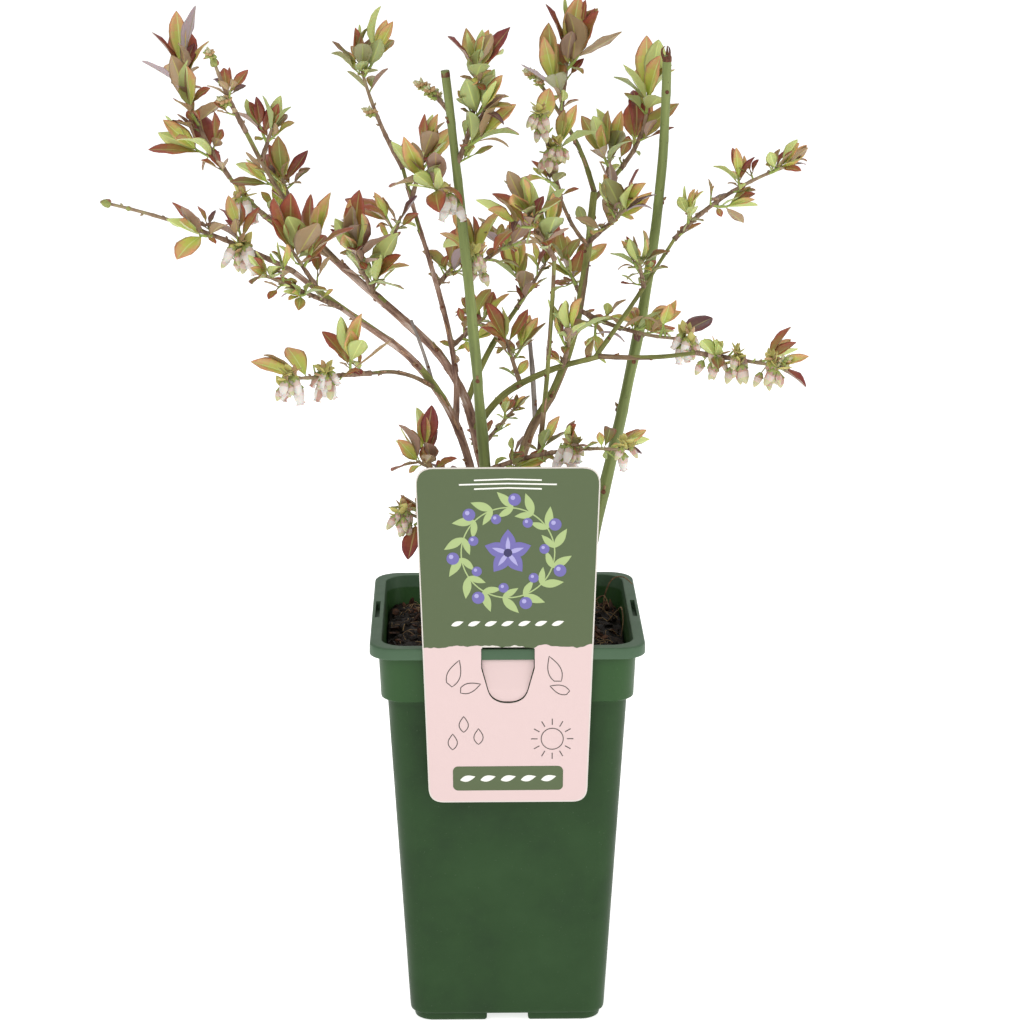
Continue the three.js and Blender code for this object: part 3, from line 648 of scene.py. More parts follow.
def grow_leaves(name, start, end, axis, dice):
    """Leaves stand round the outer part of a shoot, and close in on its axis towards the tip."""
    grown = []
    bare = TUFT["bare"] / np.linalg.norm(end - start)
    for j in range(TUFT["leaves"]):
        leaning = dice(-LEAF["lean_more"], LEAF["lean_more"])
        share = (j + 0.5) / TUFT["leaves"]
        lean = mixed(LEAF["lean_first"], LEAF["lean_last"], share) + leaning
        way = lean_off(axis, j * TUFT["turn"] + dice(0, TUFT["turn_more"]), lean)
        way = rising(way, LEAF["rise"])
        length = LEAF["length"] * SPRAYS[name][7] * dice(LEAF["shortest"], LEAF["longest"])
        base = mixed(start, end, mixed(bare, TUFT["last"], j / (TUFT["leaves"] - 1)))
        leaf = (base, way, tilted(way, LEAF["tilt"], dice), length, length * LEAF["half_width"])
        if keeps_to_its_space(name, outline_points(*leaf)):
            grown.append(leaf)
    return grown


def grow_bells(name, start, dice):
    grown = []
    for j in range(BELL["count"]):
        turn = j * 360 / BELL["count"] + dice(0, BELL["turn_more"])
        way = lean_off(-UP, turn, BELL["lean"] + dice(0, BELL["lean_more"]))
        if keeps_to_its_space(name, [start + way * BELL["length"]]):
            grown.append(way)
    return grown


# ---- leaves ----------------------------------------------------------------------------------
# Each tint runs from a leaf's foot to its tip in four colours, with steps between them, and then
# come its midrib and its underside.
TINTS = {
    "fresh": ("#b9ca5d", "#c4c764", "#d0ab70", "#d38a68", "#d2dd8b", "#bbc67a"),
    "green": ("#93a248", "#9c994e", "#a38a4d", "#a7714d", "#b8c474", "#a2ae70"),
    "olive": ("#7b843e", "#847a43", "#896844", "#865442", "#a7af68", "#949462"),
    "bronze": ("#969144", "#9f7843", "#a25b40", "#93473d", "#b5aa65", "#a38a68"),
    "red": ("#8c6941", "#90503b", "#833a36", "#6e3134", "#ad9561", "#9c806e"),
    "plum": ("#766947", "#6e5045", "#644142", "#59393f", "#938662", "#aa989b"),
}
LEAF_STEPS = 7
RIB, UNDER = LEAF_STEPS, LEAF_STEPS + 1
STATIONS = np.array([0.03, 0.12, 0.24, 0.37, 0.5, 0.63, 0.76, 0.88, 0.96])
ACROSS = np.array([-1, -0.72, -0.4, -0.07, 0.07, 0.4, 0.72, 1])
ON_RIB = np.abs(ACROSS) < 0.1
LEAF_SKIN = {"thickness": 0.22, "rib": 0.22, "groove": 0.1}
STALK = 1.5
CURL_STEPS = 40


def leaf_template():
    """The faces of one leaf and their marks: upper side, underside, and a fan at each end."""
    upper = np.arange(STATIONS.size * ACROSS.size).reshape(STATIONS.size, -1)
    under = upper.copy()
    under[:, 1:-1] = upper.size + np.arange(under[:, 1:-1].size).reshape(STATIONS.size, -1)
    foot, tip = under.max() + 1, under.max() + 2
    off = np.abs(ACROSS[:-1] + ACROSS[1:]) / 2
    ribbed = off < 0.01

    def tints(stations):
        steps = LEAF_STEPS * (0.72 * stations[:, None] + 0.38 * off - 0.1)
        marks = np.clip(steps, 0, LEAF_STEPS - 1).astype(int)
        return np.where(ribbed & (stations[:, None] < 0.93), RIB, marks).ravel()

    below = np.tile(np.where(ribbed, RIB, UNDER), STATIONS.size - 1)
    return (
        (quads(upper)[:, [0, 3, 2, 1]], tints((STATIONS[:-1] + STATIONS[1:]) / 2)),
        (quads(under), below),
        (fan(upper[0], foot), tints(np.zeros(1))), (fan(under[0], foot)[:, ::-1], UNDER),
        (fan(upper[-1], tip)[:, ::-1], tints(np.ones(1))), (fan(under[-1], tip), UNDER),
    )


LEAF_FACES = leaf_template()


def leaf_points(leaf, fold, curl, twist, wave, widest):
    """A leaf laid along its way: folded on its midrib, curled along it, twisted and waved."""
    base, way, face, length, half_width = leaf
    u = np.concatenate([STATIONS, [0, 1]])
    fine = np.linspace(0, 1, CURL_STEPS + 1)
    bend = curl * (fine - 0.5)
    runs = [np.append(0, np.cumsum(f(bend[:-1]) + f(bend[1:]))) / 2 / CURL_STEPS for f in (np.cos, np.sin)]
    forth, down = [np.interp(u, fine, run)[:, None] * (length - STALK) for run in runs]
    slope, turn = [(amount * (u - 0.5))[:, None] for amount in (curl, twist)]
    width = (half_width * np.sin(math.pi * u**widest) ** 0.85)[:, None]
    u = u[:, None]

    def surface(rows, v, sunk):
        w, s, t = width[rows], slope[rows], turn[rows]
        y = v * w * math.cos(fold)
        z = np.abs(v) * w * math.sin(fold) + 0.1 * w * np.sin(math.pi * np.abs(v)) - sunk
        z = z + 0.08 * w * v**2 * np.sin(2 * math.pi * (2.3 * u[rows] + wave) + 1.2 * v)
        y, z = y * np.cos(t) - z * np.sin(t), y * np.sin(t) + z * np.cos(t)
        flat = np.stack([forth[rows] + z * np.sin(s) + STALK, y, z * np.cos(s) - down[rows]], -1)
        return base + flat.reshape(-1, 3) @ np.array([way, np.cross(face, way), face])

    blade, ends = slice(0, STATIONS.size), slice(STATIONS.size, None)
    skin = LEAF_SKIN["thickness"] * (1 - ACROSS**2) + LEAF_SKIN["rib"] * ON_RIB
    below = surface(blade, ACROSS[1:-1], skin[1:-1])
    return np.vstack([surface(blade, ACROSS, LEAF_SKIN["groove"] * ON_RIB), below,
                      surface(ends, np.zeros(1), 0)])


leaf_piles = {tint: Pile() for tint in TINTS}
twigs, blossom = Pile(), Pile()
TWIG_BROWN, TWIG_GREEN, TWIG_RED, BUD_GREEN, BUD_RED = range(5)


def put_leaf(leaf, tint, dice, fold=None, curl=None):
    fold = dice(0.1, 0.55) if fold is None else fold
    curl = dice(-0.2, 0.9) if curl is None else curl
    points = leaf_points(leaf, fold, curl, dice(-0.3, 0.3), dice(0, 1), dice(0.95, 1.35))
    leaf_piles[tint].add(points, *LEAF_FACES)
    base, way = leaf[:2]
    foot = points[-2]
    stalk = [base - way * 0.4, mixed(base, foot, 0.5), foot + way * 0.6]
    tube(twigs, stalk, (0.5, 0.4, 0.28), 5, TWIG_GREEN if tint in ("fresh", "green") else TWIG_RED)


def tint_for(warmth, dice):
    """A spread leaf's tint: the warmer the mass, the more of its leaves are bronze and red."""
    r = dice(0, 1)
    shares = {
        "plum": 0.08 * warmth, "red": 0.36 * warmth, "bronze": 0.95 * warmth, "green": 0.7,
        "olive": 0.8, "fresh": 1,
    }
    return next(tint for tint, share in shares.items() if r < share)


# ---- foliage ---------------------------------------------------------------------------------
BUD = ((0, 0.35), (0.15, 0.8), (0.4, 1), (0.7, 0.7), (0.93, 0.2))
OPEN_BELL = (
    (0, 0.3), (0.06, 0.62), (0.2, 0.92), (0.42, 1), (0.65, 0.9), (0.85, 0.62), (0.92, 0.6),
    (1, 0.74), (0.98, 0.5), (0.88, 0.35), (0.8, 0.1),
)
BELL_LOBES = (0, 0, 0, 0, 0, 0, 0.05, 0.2, 0.1, 0, 0)
CLOSED_BELL = ((0, 0.4), (0.08, 0.75), (0.3, 1), (0.6, 0.85), (0.85, 0.5), (0.98, 0.12))
CUP = ((-0.12, 0.2), (-0.1, 0.5), (0.04, 0.76), (0.24, 0.95), (0.2, 0.7), (0.04, 0.3))
CUP_LOBES = (0, 0, 0.05, 0.3, 0.25, 0)
CUP_LONGEST = 7.5
PETAL, BLUSH, PETAL_PINK, PETAL_GREEN, CALYX, BRACT, BRACT_PINK, PEDICEL = range(8)
FLOWER_SIDES = 10
# The tones of a flower from its cup down, where it is open and where it is closed.
OPEN_TONES = (PETAL_PINK, BLUSH, BLUSH, PETAL, PETAL, PETAL, PETAL, PETAL, BLUSH, PETAL_GREEN)
CLOSED_TONES = (PETAL_PINK, PETAL_PINK, BLUSH, PETAL_GREEN, PETAL_GREEN)
OPEN, CLOSED, TIGHT = 2, 1, 0
# How far the bunches of a mass have opened, where they aren't all open, and the masses with tight
# flower buds besides: the line that a head of them stands on, where on it, and to which side.
STAGE = {
    "cane_bud": TIGHT, "front_right": CLOSED, "low_right": CLOSED, "pot_left": CLOSED,
    "cane_right": CLOSED,
}
TIGHT_BUDS = {
    "top_left": (("top_left", 0.35, 200), ("top_left", 0.98, 250)),
    "top_middle": (("top_middle", 0.5, 185),),
    "cane_bud": (("cane_bud", 0.45, 120), ("cane_bud", 0.7, 230)),
    "rear_right": (("bough_right_rear", 0.98, 160), ("bough_right_rear", 0.93, 250)),
    "low_right": (("low_right", 1, 330),), "pot_left": (("pot_left", 0.75, 120),),
}
# How much larger or smaller the leaves of a mass are in the photo than its vigour makes them.
LUSH = {
    "far_left": 1.1, "left_fork": 1.15, "rear_left": 1.15, "crown_left": 1.2, "inner_left": 1.15,
    "low_left": 1.1, "cane_left": 1.15, "cane_right": 1.15, "middle_side": 1.15, "rear_right": 1.2,
    "rear_side": 1.2, "top_right": 1.15, "upper_side": 0.85, "top_middle": 0.92,
    "foot_right": 0.85, "foot_back": 0.85,
}
TWIGLET = {"gap": 15, "bare": 0.1, "leaves": 3, "turn_of_mass": 70}


def put_bud(pile, base, way, length, radius, mark, sides=7):
    turned(pile, base, way, BUD, sides, mark, (length, radius))


def put_flower(neck, hang, length, radius, is_open, dice):
    """An urn-shaped flower, or a closed one, under its green cup, with a few streaks of pink."""
    shape, lobes, tones = (
        (OPEN_BELL, BELL_LOBES, OPEN_TONES) if is_open else (CLOSED_BELL, None, CLOSED_TONES)
    )
    tones = np.repeat(tones, FLOWER_SIDES).reshape(-1, FLOWER_SIDES)
    if dice(0, 1) < (0.2 if is_open else 0.7):
        streak = int(dice(0, FLOWER_SIDES - 2))
        tones[:-2, streak:streak + 2] = PETAL_PINK
    turned(blossom, neck, hang, shape, FLOWER_SIDES, tones.ravel(), (length, radius), lobes)
    cup = (min(length, CUP_LONGEST), radius)
    turned(blossom, neck, hang, CUP, FLOWER_SIDES, CALYX, cup, CUP_LOBES)


def put_bract(foot, way, length, dice):
    """A small scale leaf of the bunch, cupped and pointed."""
    face = tilted(way, 0.6, dice) * length
    side = np.cross(face, way)
    mark = BRACT if dice(0, 1) < 0.7 else BRACT_PINK
    across = np.array([-1, -0.5, 0, 0.5, 1.0])[:, None]
    rings = []
    for t, w in ((0, 0.1), (0.25, 0.27), (0.55, 0.31), (0.82, 0.17), (1, 0.02)):
        middle = foot + way * t * length
        upper = middle + side * across * w + face * (0.25 * t**2 + np.abs(across) * w * 1.6 / length)
        rings.append([*upper, *(upper[::-1] - face * 0.25 / length)])
    loft(blossom, rings, mark)


def put_bunch(name, share, dice, ways):
    """A bunch on a short stalk that arches out: the bells of the solids, and more along it."""
    stage = STAGE.get(name, OPEN)
    start = along(spray_lines[name], share)
    if stage == TIGHT:
        put_tight_buds(name, start, heading(70, dice(170, 220)), dice)
        return
    for way in ways:
        length = dice(9, 10.5) if stage == OPEN else dice(7, 8.5)
        foot = start + way * (BELL["length"] - length)
        tube(blossom, [start, mixed(start, foot, 0.6), foot], 0.36, 5, PEDICEL)
        radius = length * dice(0.27, 0.32)
        put_flower(foot, rising(way, -0.4), length, radius, stage == OPEN and dice(0, 1) < 0.8, dice)
    out = unit(unit(start * (1, 1, 0)) * 0.6 + (dice(-0.6, 0.6), -0.7, 0))
    size, droop = dice(0.75, 1.15), dice(0, 11)
    bends = ((0, 0), (4, 5), (8, 7 - droop / 2), (11, 6 - droop))
    stalk = smooth_line([start + (out * forth + UP * rise) * size for forth, rise in bends], 1.2)
    tube(blossom, stalk, (0.75, 0.4), 6, PEDICEL)
    flowers, bracts = 9, 13
    for j in range(flowers):
        foot = along(stalk, 0.2 + 0.1 * j)
        way = lean_off(-UP, TURN * j + dice(0, 50), dice(15, 70))
        neck = foot + way * dice(2, 4)
        is_open = stage == OPEN and j <= flowers / 2
        length = dice(8, 10.5) if is_open else (dice(5.5, 7.5) if stage == OPEN else dice(6, 9.5))
        hang = rising(way, -0.9)
        if has_room(name, neck + hang * length):
            tube(blossom, [foot, mixed(foot, neck, 0.5) + UP * 0.4, neck], 0.34, 5, PEDICEL)
            put_flower(neck, hang, length, length * dice(0.24, 0.31), is_open, dice)
    for j in range(bracts):
        foot = along(stalk, j / (bracts - 1))
        way = lean_off(UP, TURN * j + dice(0, 60), dice(25, 100))
        length = dice(4.5, 7.5)
        if has_room(name, foot + way * length):
            put_bract(foot, way, length, dice)


def put_tight_buds(name, start, out, dice):
    """A short stalk with a round head of small flower buds that are still shut."""
    stalk = smooth_line([start, start + out * 2.5, start + out * 5 + UP * 0.8], 1)
    tube(blossom, stalk, 0.5, 6, PEDICEL)
    buds, bracts = 15, 4
    for j in range(buds):
        way = lean_off(out, TURN * j, 12 + 8.5 * j)
        foot = stalk[-1] + out * (1.2 - 0.25 * j)
        if keeps_to_its_space(name, [foot + way * 4.5]):
            mark = (PETAL_GREEN, CALYX, BRACT_PINK)[j % 3]
            put_bud(blossom, foot, way, dice(3.2, 4.6), dice(1, 1.35), mark, 6)
    for j in range(bracts):
        way = lean_off(out, 360 / bracts * j + dice(0, 60), dice(50, 90))
        put_bract(along(stalk, 0.6), way, dice(3, 4.5), dice)


def crowds_a_bunch(name, middle):
    """Whether a leaf's middle lies among the flowers of a bunch of its mass."""
    bunches = [middle - along(spray_lines[name], share) for share in SPRAYS[name][5]]
    near = BELL["crowded"]
    return any(abs(away[2]) < near and math.hypot(away[0], away[1]) < near for away in bunches)


def fitted(name, base, way, face, length, breadth):
    """The largest of a few sizes of a leaf that keeps to its space and to the plant's reach."""
    for share in (1, 0.9, 0.8, 0.7, 0.6, 0.5):
        leaf = (base, way, face, length * share, length * share * breadth)
        spots = outline_points(*leaf)
        if not crowds_a_bunch(name, spots[0] / 2 + spots[1] / 2) and has_room(name, *spots):
            return leaf
    return None


def put_tuft(name, start, end, axis, leaves, dice):
    """The leaves of one shoot: the spread ones, the upright ones at its tip and small low ones."""
    lush = LUSH.get(name, 1)
    *_, warmth, vigour = SPRAYS[name]
    vigour = vigour * lush
    leading = tint_for(warmth, dice)
    for base, way, face, length, half_width in leaves:
        breadth = half_width / length * dice(0.82, 1.1)
        leaf = fitted(name, base, way, face, length * LEAF["grown"] * lush, breadth)
        if leaf:
            put_leaf(leaf, leading if dice(0, 1) < 0.5 else tint_for(warmth, dice), dice)
    for j in range(3 if dice(0, 1) < 0.35 else 2):
        way = rising(lean_off(axis, 120 * j + dice(0, 60), dice(8, 22)), 0.3)
        face = unit(axis - way * axis.dot(way)) * -1 if j else facing(way, dice(-1, 1), -1)
        leaf = fitted(name, end - axis * 1.2, way, face, vigour * dice(21, 30), dice(0.18, 0.22))
        if leaf:
            tint = "fresh" if dice(0, 1) < 1 - 0.35 * warmth else "bronze"
            put_leaf(leaf, tint, dice, dice(0.3, 0.7), dice(-0.5, 0.2))
    if dice(0, 1) < 0.25:
        way = rising(lean_off(axis, dice(0, 360), dice(45, 85)), 0.15)
        face = tilted(way, 0.5, dice)
        leaf = fitted(name, mixed(start, end, dice(0.6, 0.9)), way, face, vigour * dice(15, 22), 0.12)
        if leaf:
            put_leaf(leaf, "plum" if dice(0, 1) < 0.5 else "bronze", dice, curl=dice(1.1, 1.9))
    for j in range(2):
        way = lean_off(axis, 150 * j + dice(0, 200), dice(62, 100))
        face = tilted(way, 0.5, dice)
        leaf = fitted(name, mixed(start, end, dice(0.1, 0.5)), way, face, dice(6, 11), dice(0.24, 0.32))
        if leaf:
            put_leaf(leaf, tint_for(warmth * 0.5, dice), dice, dice(0.1, 0.4))


def grow_twiglets(name, dice):
    """Finer twigs between the spurs, each with a few small leaves at its tip."""
    _, _, length, _, (low, high), _, warmth, vigour = SPRAYS[name]
    line = spray_lines[name]
    turn = spray_order[name] * SPUR["turn_of_mass"] + TWIGLET["turn_of_mass"]
    count = max(2, int(length * (high - low) / TWIGLET["gap"] + 0.5))
    for k in range(count):
        share = low + (high - low) * (k + TWIGLET["bare"] + dice(0, 0.15)) / count
        start = along(line, share)
        side = k * TURN + turn + dice(0, 60)
        way = rising(lean_off(way_at(line, share), side, dice(45, 75)), SPUR["rise"])
        end = start + way * dice(4, 8)
        if not keeps_to_its_space(name, [end]):
            continue
        tube(twigs, [start, mixed(start, end, 0.5), end], (0.7, 0.55, 0.45), 6, TWIG_GREEN)
        for j in range(TWIGLET["leaves"]):
            place = j / (TWIGLET["leaves"] - 1)
            leaf_way = rising(lean_off(way, TURN * j + dice(0, 30), mixed(75, 15, place)), 0.2)
            face = tilted(leaf_way, 0.6, dice)
            base = mixed(start, end, mixed(0.5, 1, place))
            leaf = fitted(name, base, leaf_way, face, vigour * dice(11, 18), dice(0.2, 0.26))
            if leaf:
                put_leaf(leaf, tint_for(warmth, dice), dice)


def put_twig(line, dice):
    """A stem of a mass, browner below and greener at its end, with a slight swelling at each node."""
    fine = smooth_line(line, 1.6)
    share = np.linspace(0, 1, len(fine))
    node = np.cos(2 * math.pi * (share * len(line) * 1.2 + dice(0, 1)))
    radii = mixed(TWIG["root"], TWIG["tip"], share) * (1 + 0.2 * np.maximum(0, node) ** 6)
    split = int(len(fine) * 0.6)
    tube(twigs, fine[:split + 1], radii[:split + 1], 7, TWIG_BROWN)
    tube(twigs, fine[split:], radii[split:], 7, TWIG_RED)
    for k, i in enumerate(range(3, len(fine) - 3, 7)):
        way = unit(fine[i + 1] - fine[i])
        out = lean_off(way, TURN * k + dice(0, 60), 90)
        put_bud(twigs, fine[i] + out * radii[i] * 0.8, unit(way * 1.2 + out), 2.2, 0.7, TWIG_RED, 6)


def grow_mass(name):
    *_, (_, high), bloom, _, _ = SPRAYS[name]
    line = spray_lines[name]
    dice = Dice(spray_order[name] + 1)
    finer = Dice(spray_order[name] + 501)
    put_twig(line, finer)
    for start, end, axis, is_end in grow_shoots(name, dice):
        if not is_end:
            bent = smooth_line([start, mixed(start, end, 0.5) - UP * 0.5, end], 2)
            tube(twigs, bent, (0.95, 0.7), 6, TWIG_GREEN)
        put_tuft(name, start, end, axis, grow_leaves(name, start, end, axis, dice), finer)
    for share in bloom:
        put_bunch(name, share, finer, grow_bells(name, along(line, share), dice))
    for stem, share, compass in TIGHT_BUDS.get(name, ()):
        spot = along({**limb_lines, **spray_lines}[stem], share)
        put_tight_buds(name, spot, heading(65, compass), finer)
    grow_twiglets(name, finer)
    if high < 1:
        put_resting_bud(line, finer)


def put_resting_bud(line, dice):
    """The fat scaly bud that ends a shoot with no leaves, and a small one behind it."""
    way = way_at(line, 1)
    aslant = unit(way * 0.6 + heading(70, 200))
    for back, length, radius, lean in ((5.4, 5.8, 2.3, way), (16, 3.2, 1.3, aslant)):
        base = line[-1] - way * back
        put_bud(twigs, base, lean, length, radius, BUD_GREEN, 10)
        for j in range(5):
            out = lean_off(lean, 72 * j + dice(0, 30), 90)
            scale = unit(lean * 2 + out * 0.3)
            mark = BUD_RED if j % 2 else BUD_GREEN
            put_bud(twigs, base + out * radius * 0.5, scale, length * 0.62, radius * 0.55, mark)


def make_foliage():
    for name in SPRAYS:
        grow_mass(name)
    for tint, (*blade, rib, under) in TINTS.items():
        codes = [between(blade, step / (LEAF_STEPS - 1)) for step in range(LEAF_STEPS)]
        named = {f"leaf_{tint}_{i}": code for i, code in enumerate(codes)}
        named |= {f"leaf_{tint}_rib": rib, f"leaf_{tint}_under": under}
        foliage_piece("leaves_" + tint, leaf_piles[tint], skin_paints("leaf", **named), SPRAYS)
    green, bud_green, bud_red = skin_paints(
        "leaf", twig_green="#9aab58", bud_green="#8f9550", bud_red="#96644a",
    )
    brown = {0.34: "#5c4638", 0.5: "#826855", 0.66: "#a58d78"}
    red = {0.34: "#7b6450", 0.5: "#978069", 0.66: "#a19a72"}
    brown = bark_paint("twig_brown", brown, 400, 0.2, False)
    red = bark_paint("twig_red", red, 300, 0.2, False)
    foliage_piece("twigs", twigs, [brown, green, red, bud_green, bud_red], SPRAYS)
    petals = skin_paints(
        "petal", petal_white="#dcd6cf", petal_blush="#ccb9ad", petal_pink="#b99284",
        petal_green="#bdb98f",
    )
    petals += skin_paints(
        "leaf", calyx_green="#949d55", bract_gold="#bab268", bract_pink="#b8966c",
        pedicel_green="#99955a",
    )
    foliage_piece("blossom", blossom, petals, [name for name in SPRAYS if SPRAYS[name][5]])


def foliage_piece(name, pile, paints, masses):
    piece_of(name, pile, paints, ["spray_" + mass for mass in masses])


# ---- limbs -----------------------------------------------------------------------------------
# How much the light from above, the nearness of the tip and the age of a limb decide where its
# bark is still green: the older the limb, the fewer the patches.
GREENING = {"light": 0.5, "tip": 0.7, "age": 1.1, "start": 0.5}
LIMB_BARK, SCAR, BUD_SCALE, FLAKE, GREEN_BARK = range(5)
# The skin of a limb: the steps along it, the points round a thick limb and a thin one, the fine
# relief of its bark and how much age adds, the broad relief, and how far both may stand out or
# sink in, as shares of the radius.
BARK = {
    "step": 1.8, "thick": 2.5, "points_thick": 18, "points_thin": 14, "fine": 0.05,
    "fine_more": 0.17, "broad": 0.16, "out": 0.16, "in": 0.2, "level": 0.96, "most": 1.04,
}
# The nodes of a limb: where the first is, the gaps between them, and how far they swell.
KNOT = {
    "first": (8, 18), "gap": (16, 30), "gap_green": 1.3, "last": 6, "swell": 0.11,
    "swell_green": 0.05, "width": 1.8,
}


def relief(points, centres, scale, seed):
    """Smooth noise at points on a limb, drawn out along it."""
    spots = (points - centres) / scale + centres * 0.035 + (seed * 13.7, seed * 7.3, 0)
    flat = spots.reshape(-1, 3)
    return np.array([noise.noise(Vector(spot)) for spot in flat]).reshape(points.shape[:-1])


def make_limb(name, paints, seed):
    """A limb with the bark's relief: swollen nodes, long flakes, buds and scars."""
    carrier, _, length, (foot, tip), _, age = LIMBS[name]
    line = smooth_line(limb_lines[name], BARK["step"])
    sides = BARK["points_thick"] if foot > BARK["thick"] else BARK["points_thin"]
    share = np.linspace(0, 1, len(line))
    distance = share * length
    radii = mixed(foot, tip, share)
    if not carrier:
        radii = radii + LIMB["flare"] * np.exp(-distance / LIMB["flare_height"])
    dice = Dice(seed + 900)
    is_green = age == 0
    knots = [dice(*KNOT["first"])]
    while knots[-1] < length - KNOT["last"]:
        knots.append(knots[-1] + dice(*KNOT["gap"]) * (KNOT["gap_green"] if is_green else 1))
    knots.pop()
    swell = KNOT["swell_green"] if is_green else KNOT["swell"]
    for knot in knots:
        radii = radii * (1 + swell * np.exp(-(((distance - knot) / KNOT["width"]) ** 2)))
    ring = ring_of(*frames(line), sides)
    centres = line[:, None]
    skin = centres + ring * radii[:, None, None]
    lift = relief(skin, centres, 1.7, seed) * (BARK["fine"] + BARK["fine_more"] * age)
    lift = lift + relief(skin, centres, 4.5, seed + 50) * BARK["broad"]
    lift = np.clip(lift, -BARK["in"], BARK["out"])
    spread = radii[:, None] * np.minimum(BARK["level"] + lift, BARK["most"])
    sunny = GREENING["light"] * ring[:, :, 2] + GREENING["tip"] * (share[:, None] - 0.5)
    sunny = sunny + relief(skin, centres, 6, seed + 90)
    green = sunny > age * GREENING["age"] - GREENING["start"]
    pile = Pile()
    tube(pile, line, spread, sides, np.where(green[:-1], GREEN_BARK, LIMB_BARK).ravel())
    for i, knot in enumerate(knots):
        at = int(np.searchsorted(distance, knot))
        put_knot(pile, line, at, radii[at], i * TURN + seed * 40, dice)
    if age > 0.5 and foot > 1.2:
        for _ in range(int(length / 11)):
            put_flake(pile, line, radii, ring, dice)
    kind = name.split("_")[0]
    if kind == "cane":
        cut_end(pile, line, radii[-1], dice, name == "cane_right")
    piece = piece_of(name + "_bark", pile, paints, [name])
    places = np.concatenate(pile.points)
    angles = angles_of(sides)
    upright = [spread * np.cos(angles), spread * np.sin(angles), distance[:, None] + 0 * spread]
    places[:spread.size] = np.dstack(upright).reshape(-1, 3)
    held = piece.data.attributes.new(STRAIGHT, "FLOAT_VECTOR", "POINT")
    held.data.foreach_set("vector", (places * MM).ravel())


def put_knot(pile, line, at, radius, turn, dice):
    """A leaf scar, and on most nodes a small pointed bud above it."""
    way = unit(line[min(at + 1, len(line) - 1)] - line[at - 1])
    out = lean_off(way, turn + dice(0, 40), 90)
    foot = line[at] + out * radius * 0.8
    size = 0.55 + 0.22 * radius
    scar = [(-0.5, size * 0.9), (radius * 0.2, size), (radius * 0.2 + 0.35, size * 0.5)]
    turned(pile, foot, out, scar, 8, SCAR)
    if dice(0, 1) < 0.7:
        bud = (1.4 + 0.6 * radius, size * 0.7)
        put_bud(pile, foot + way * size, unit(way * 1.3 + out), *bud, BUD_SCALE)


def put_flake(pile, line, radii, ring, dice):
    """A thin strip of old bark that has come loose at its upper end."""
    i, j, steps = int(dice(2, len(line) - 8)), int(dice(0, ring.shape[1])), int(dice(3, 6))
    width = dice(0.35, 0.8)
    rings = []
    for k in range(steps + 1):
        share = k / steps
        out = ring[i + k, j]
        loose = 1.8 * max(0, share - 0.35) ** 2
        middle = line[i + k] + out * (radii[i + k] - 0.1 + loose)
        side = unit(np.cross(out, line[i + k + 1] - line[i + k])) * width
        side = side * (0.35 + 0.65 * math.sin(math.pi * (0.15 + 0.75 * share)))
        thick = out * 0.22 * (1 - 0.6 * share)
        rings.append([middle - side, middle - thick, middle + side, middle + thick])
    loft(pile, rings, FLAKE)


def cut_end(pile, line, r, dice, withered):
    """The pruned tip of a cane: a dry brown end, and on one cane the husk of its last bud."""
    way = unit(line[-1] - line[-3])
    cap = [(0, r * 0.9), (0.3, r * 1.045), (2.6, r * 1.03), (3.4, r * 0.9), (3.3, r * 0.45), (2.9, 0.1)]
    turned(pile, line[-1] - way * 3.5, way, cap, 16, SCAR)
    for turn in (20, 150, 260) if withered else ():
        out = lean_off(way, turn + dice(0, 30), 90)
        foot = line[-1] + out * r * 0.75 - way * 1.5
        bends = ((0, 0), (3, 1.2), (5.4, 0.9), (6.6, -0.6))
        husk = smooth_line([foot + way * rise + out * apart for rise, apart in bends], 0.8)
        tube(pile, husk, (1.1, 0.25), 6, SCAR)


def make_limbs():
    scar = bark_paint("scar_brown", {0.34: "#4a2e22", 0.5: "#6e4634", 0.66: "#8c6148"}, 500, 0.2)
    bud, = skin_paints("leaf", bud_brown="#8f6f4c")
    flake = bark_paint("flake_tan", {0.34: "#8a644d", 0.5: "#ab8468", 0.66: "#c3a086"}, 400, 0.2)
    old = {0.34: "#432f28", 0.43: "#785b4e", 0.54: "#a28271", 0.65: "#d6c6bb"}
    middle = {0.32: "#463729", 0.43: "#705b45", 0.55: "#8f775c", 0.68: "#b5a486"}
    young = {0.32: "#585a31", 0.45: "#737540", 0.58: "#8a8c50", 0.7: "#a39a6a"}
    dead = {0.32: "#6d635f", 0.45: "#8f8580", 0.57: "#ada39c", 0.7: "#c6bdb5"}
    bark = {
        "cane": cane_paint(), "old": bark_paint("bark_old", old),
        "middle": bark_paint("bark_middle", middle),
        "young": bark_paint("bark_young", young, 240, 0.3), "dead": bark_paint("bark_dead", dead),
    }
    for seed, (name, (*_, age)) in enumerate(LIMBS.items()):
        kind = name.split("_")[0]
        green = bark.get(kind, bark["young"])
        own = bark["old" if age > 0.72 else ("middle" if age > 0.4 else "young")]
        make_limb(name, [bark.get(kind, own), scar, bud, flake, green], seed)


# ---- pot -------------------------------------------------------------------------------------
CORNER_STEPS = 10
SIDE_STEPS = 8
# The quarter turns that bring a shape from the rear to each side, and to all but the front.
ALL_SIDES, NOT_THE_FRONT = (0, 1, 2, 3), (0, 1, 3)


def quarter(k):
    """A number of quarter turns round the pot's axis, for points in rows."""
    a = k * math.pi / 2
    return np.array([[math.cos(a), math.sin(a), 0], [-math.sin(a), math.cos(a), 0], [0, 0, 1]])


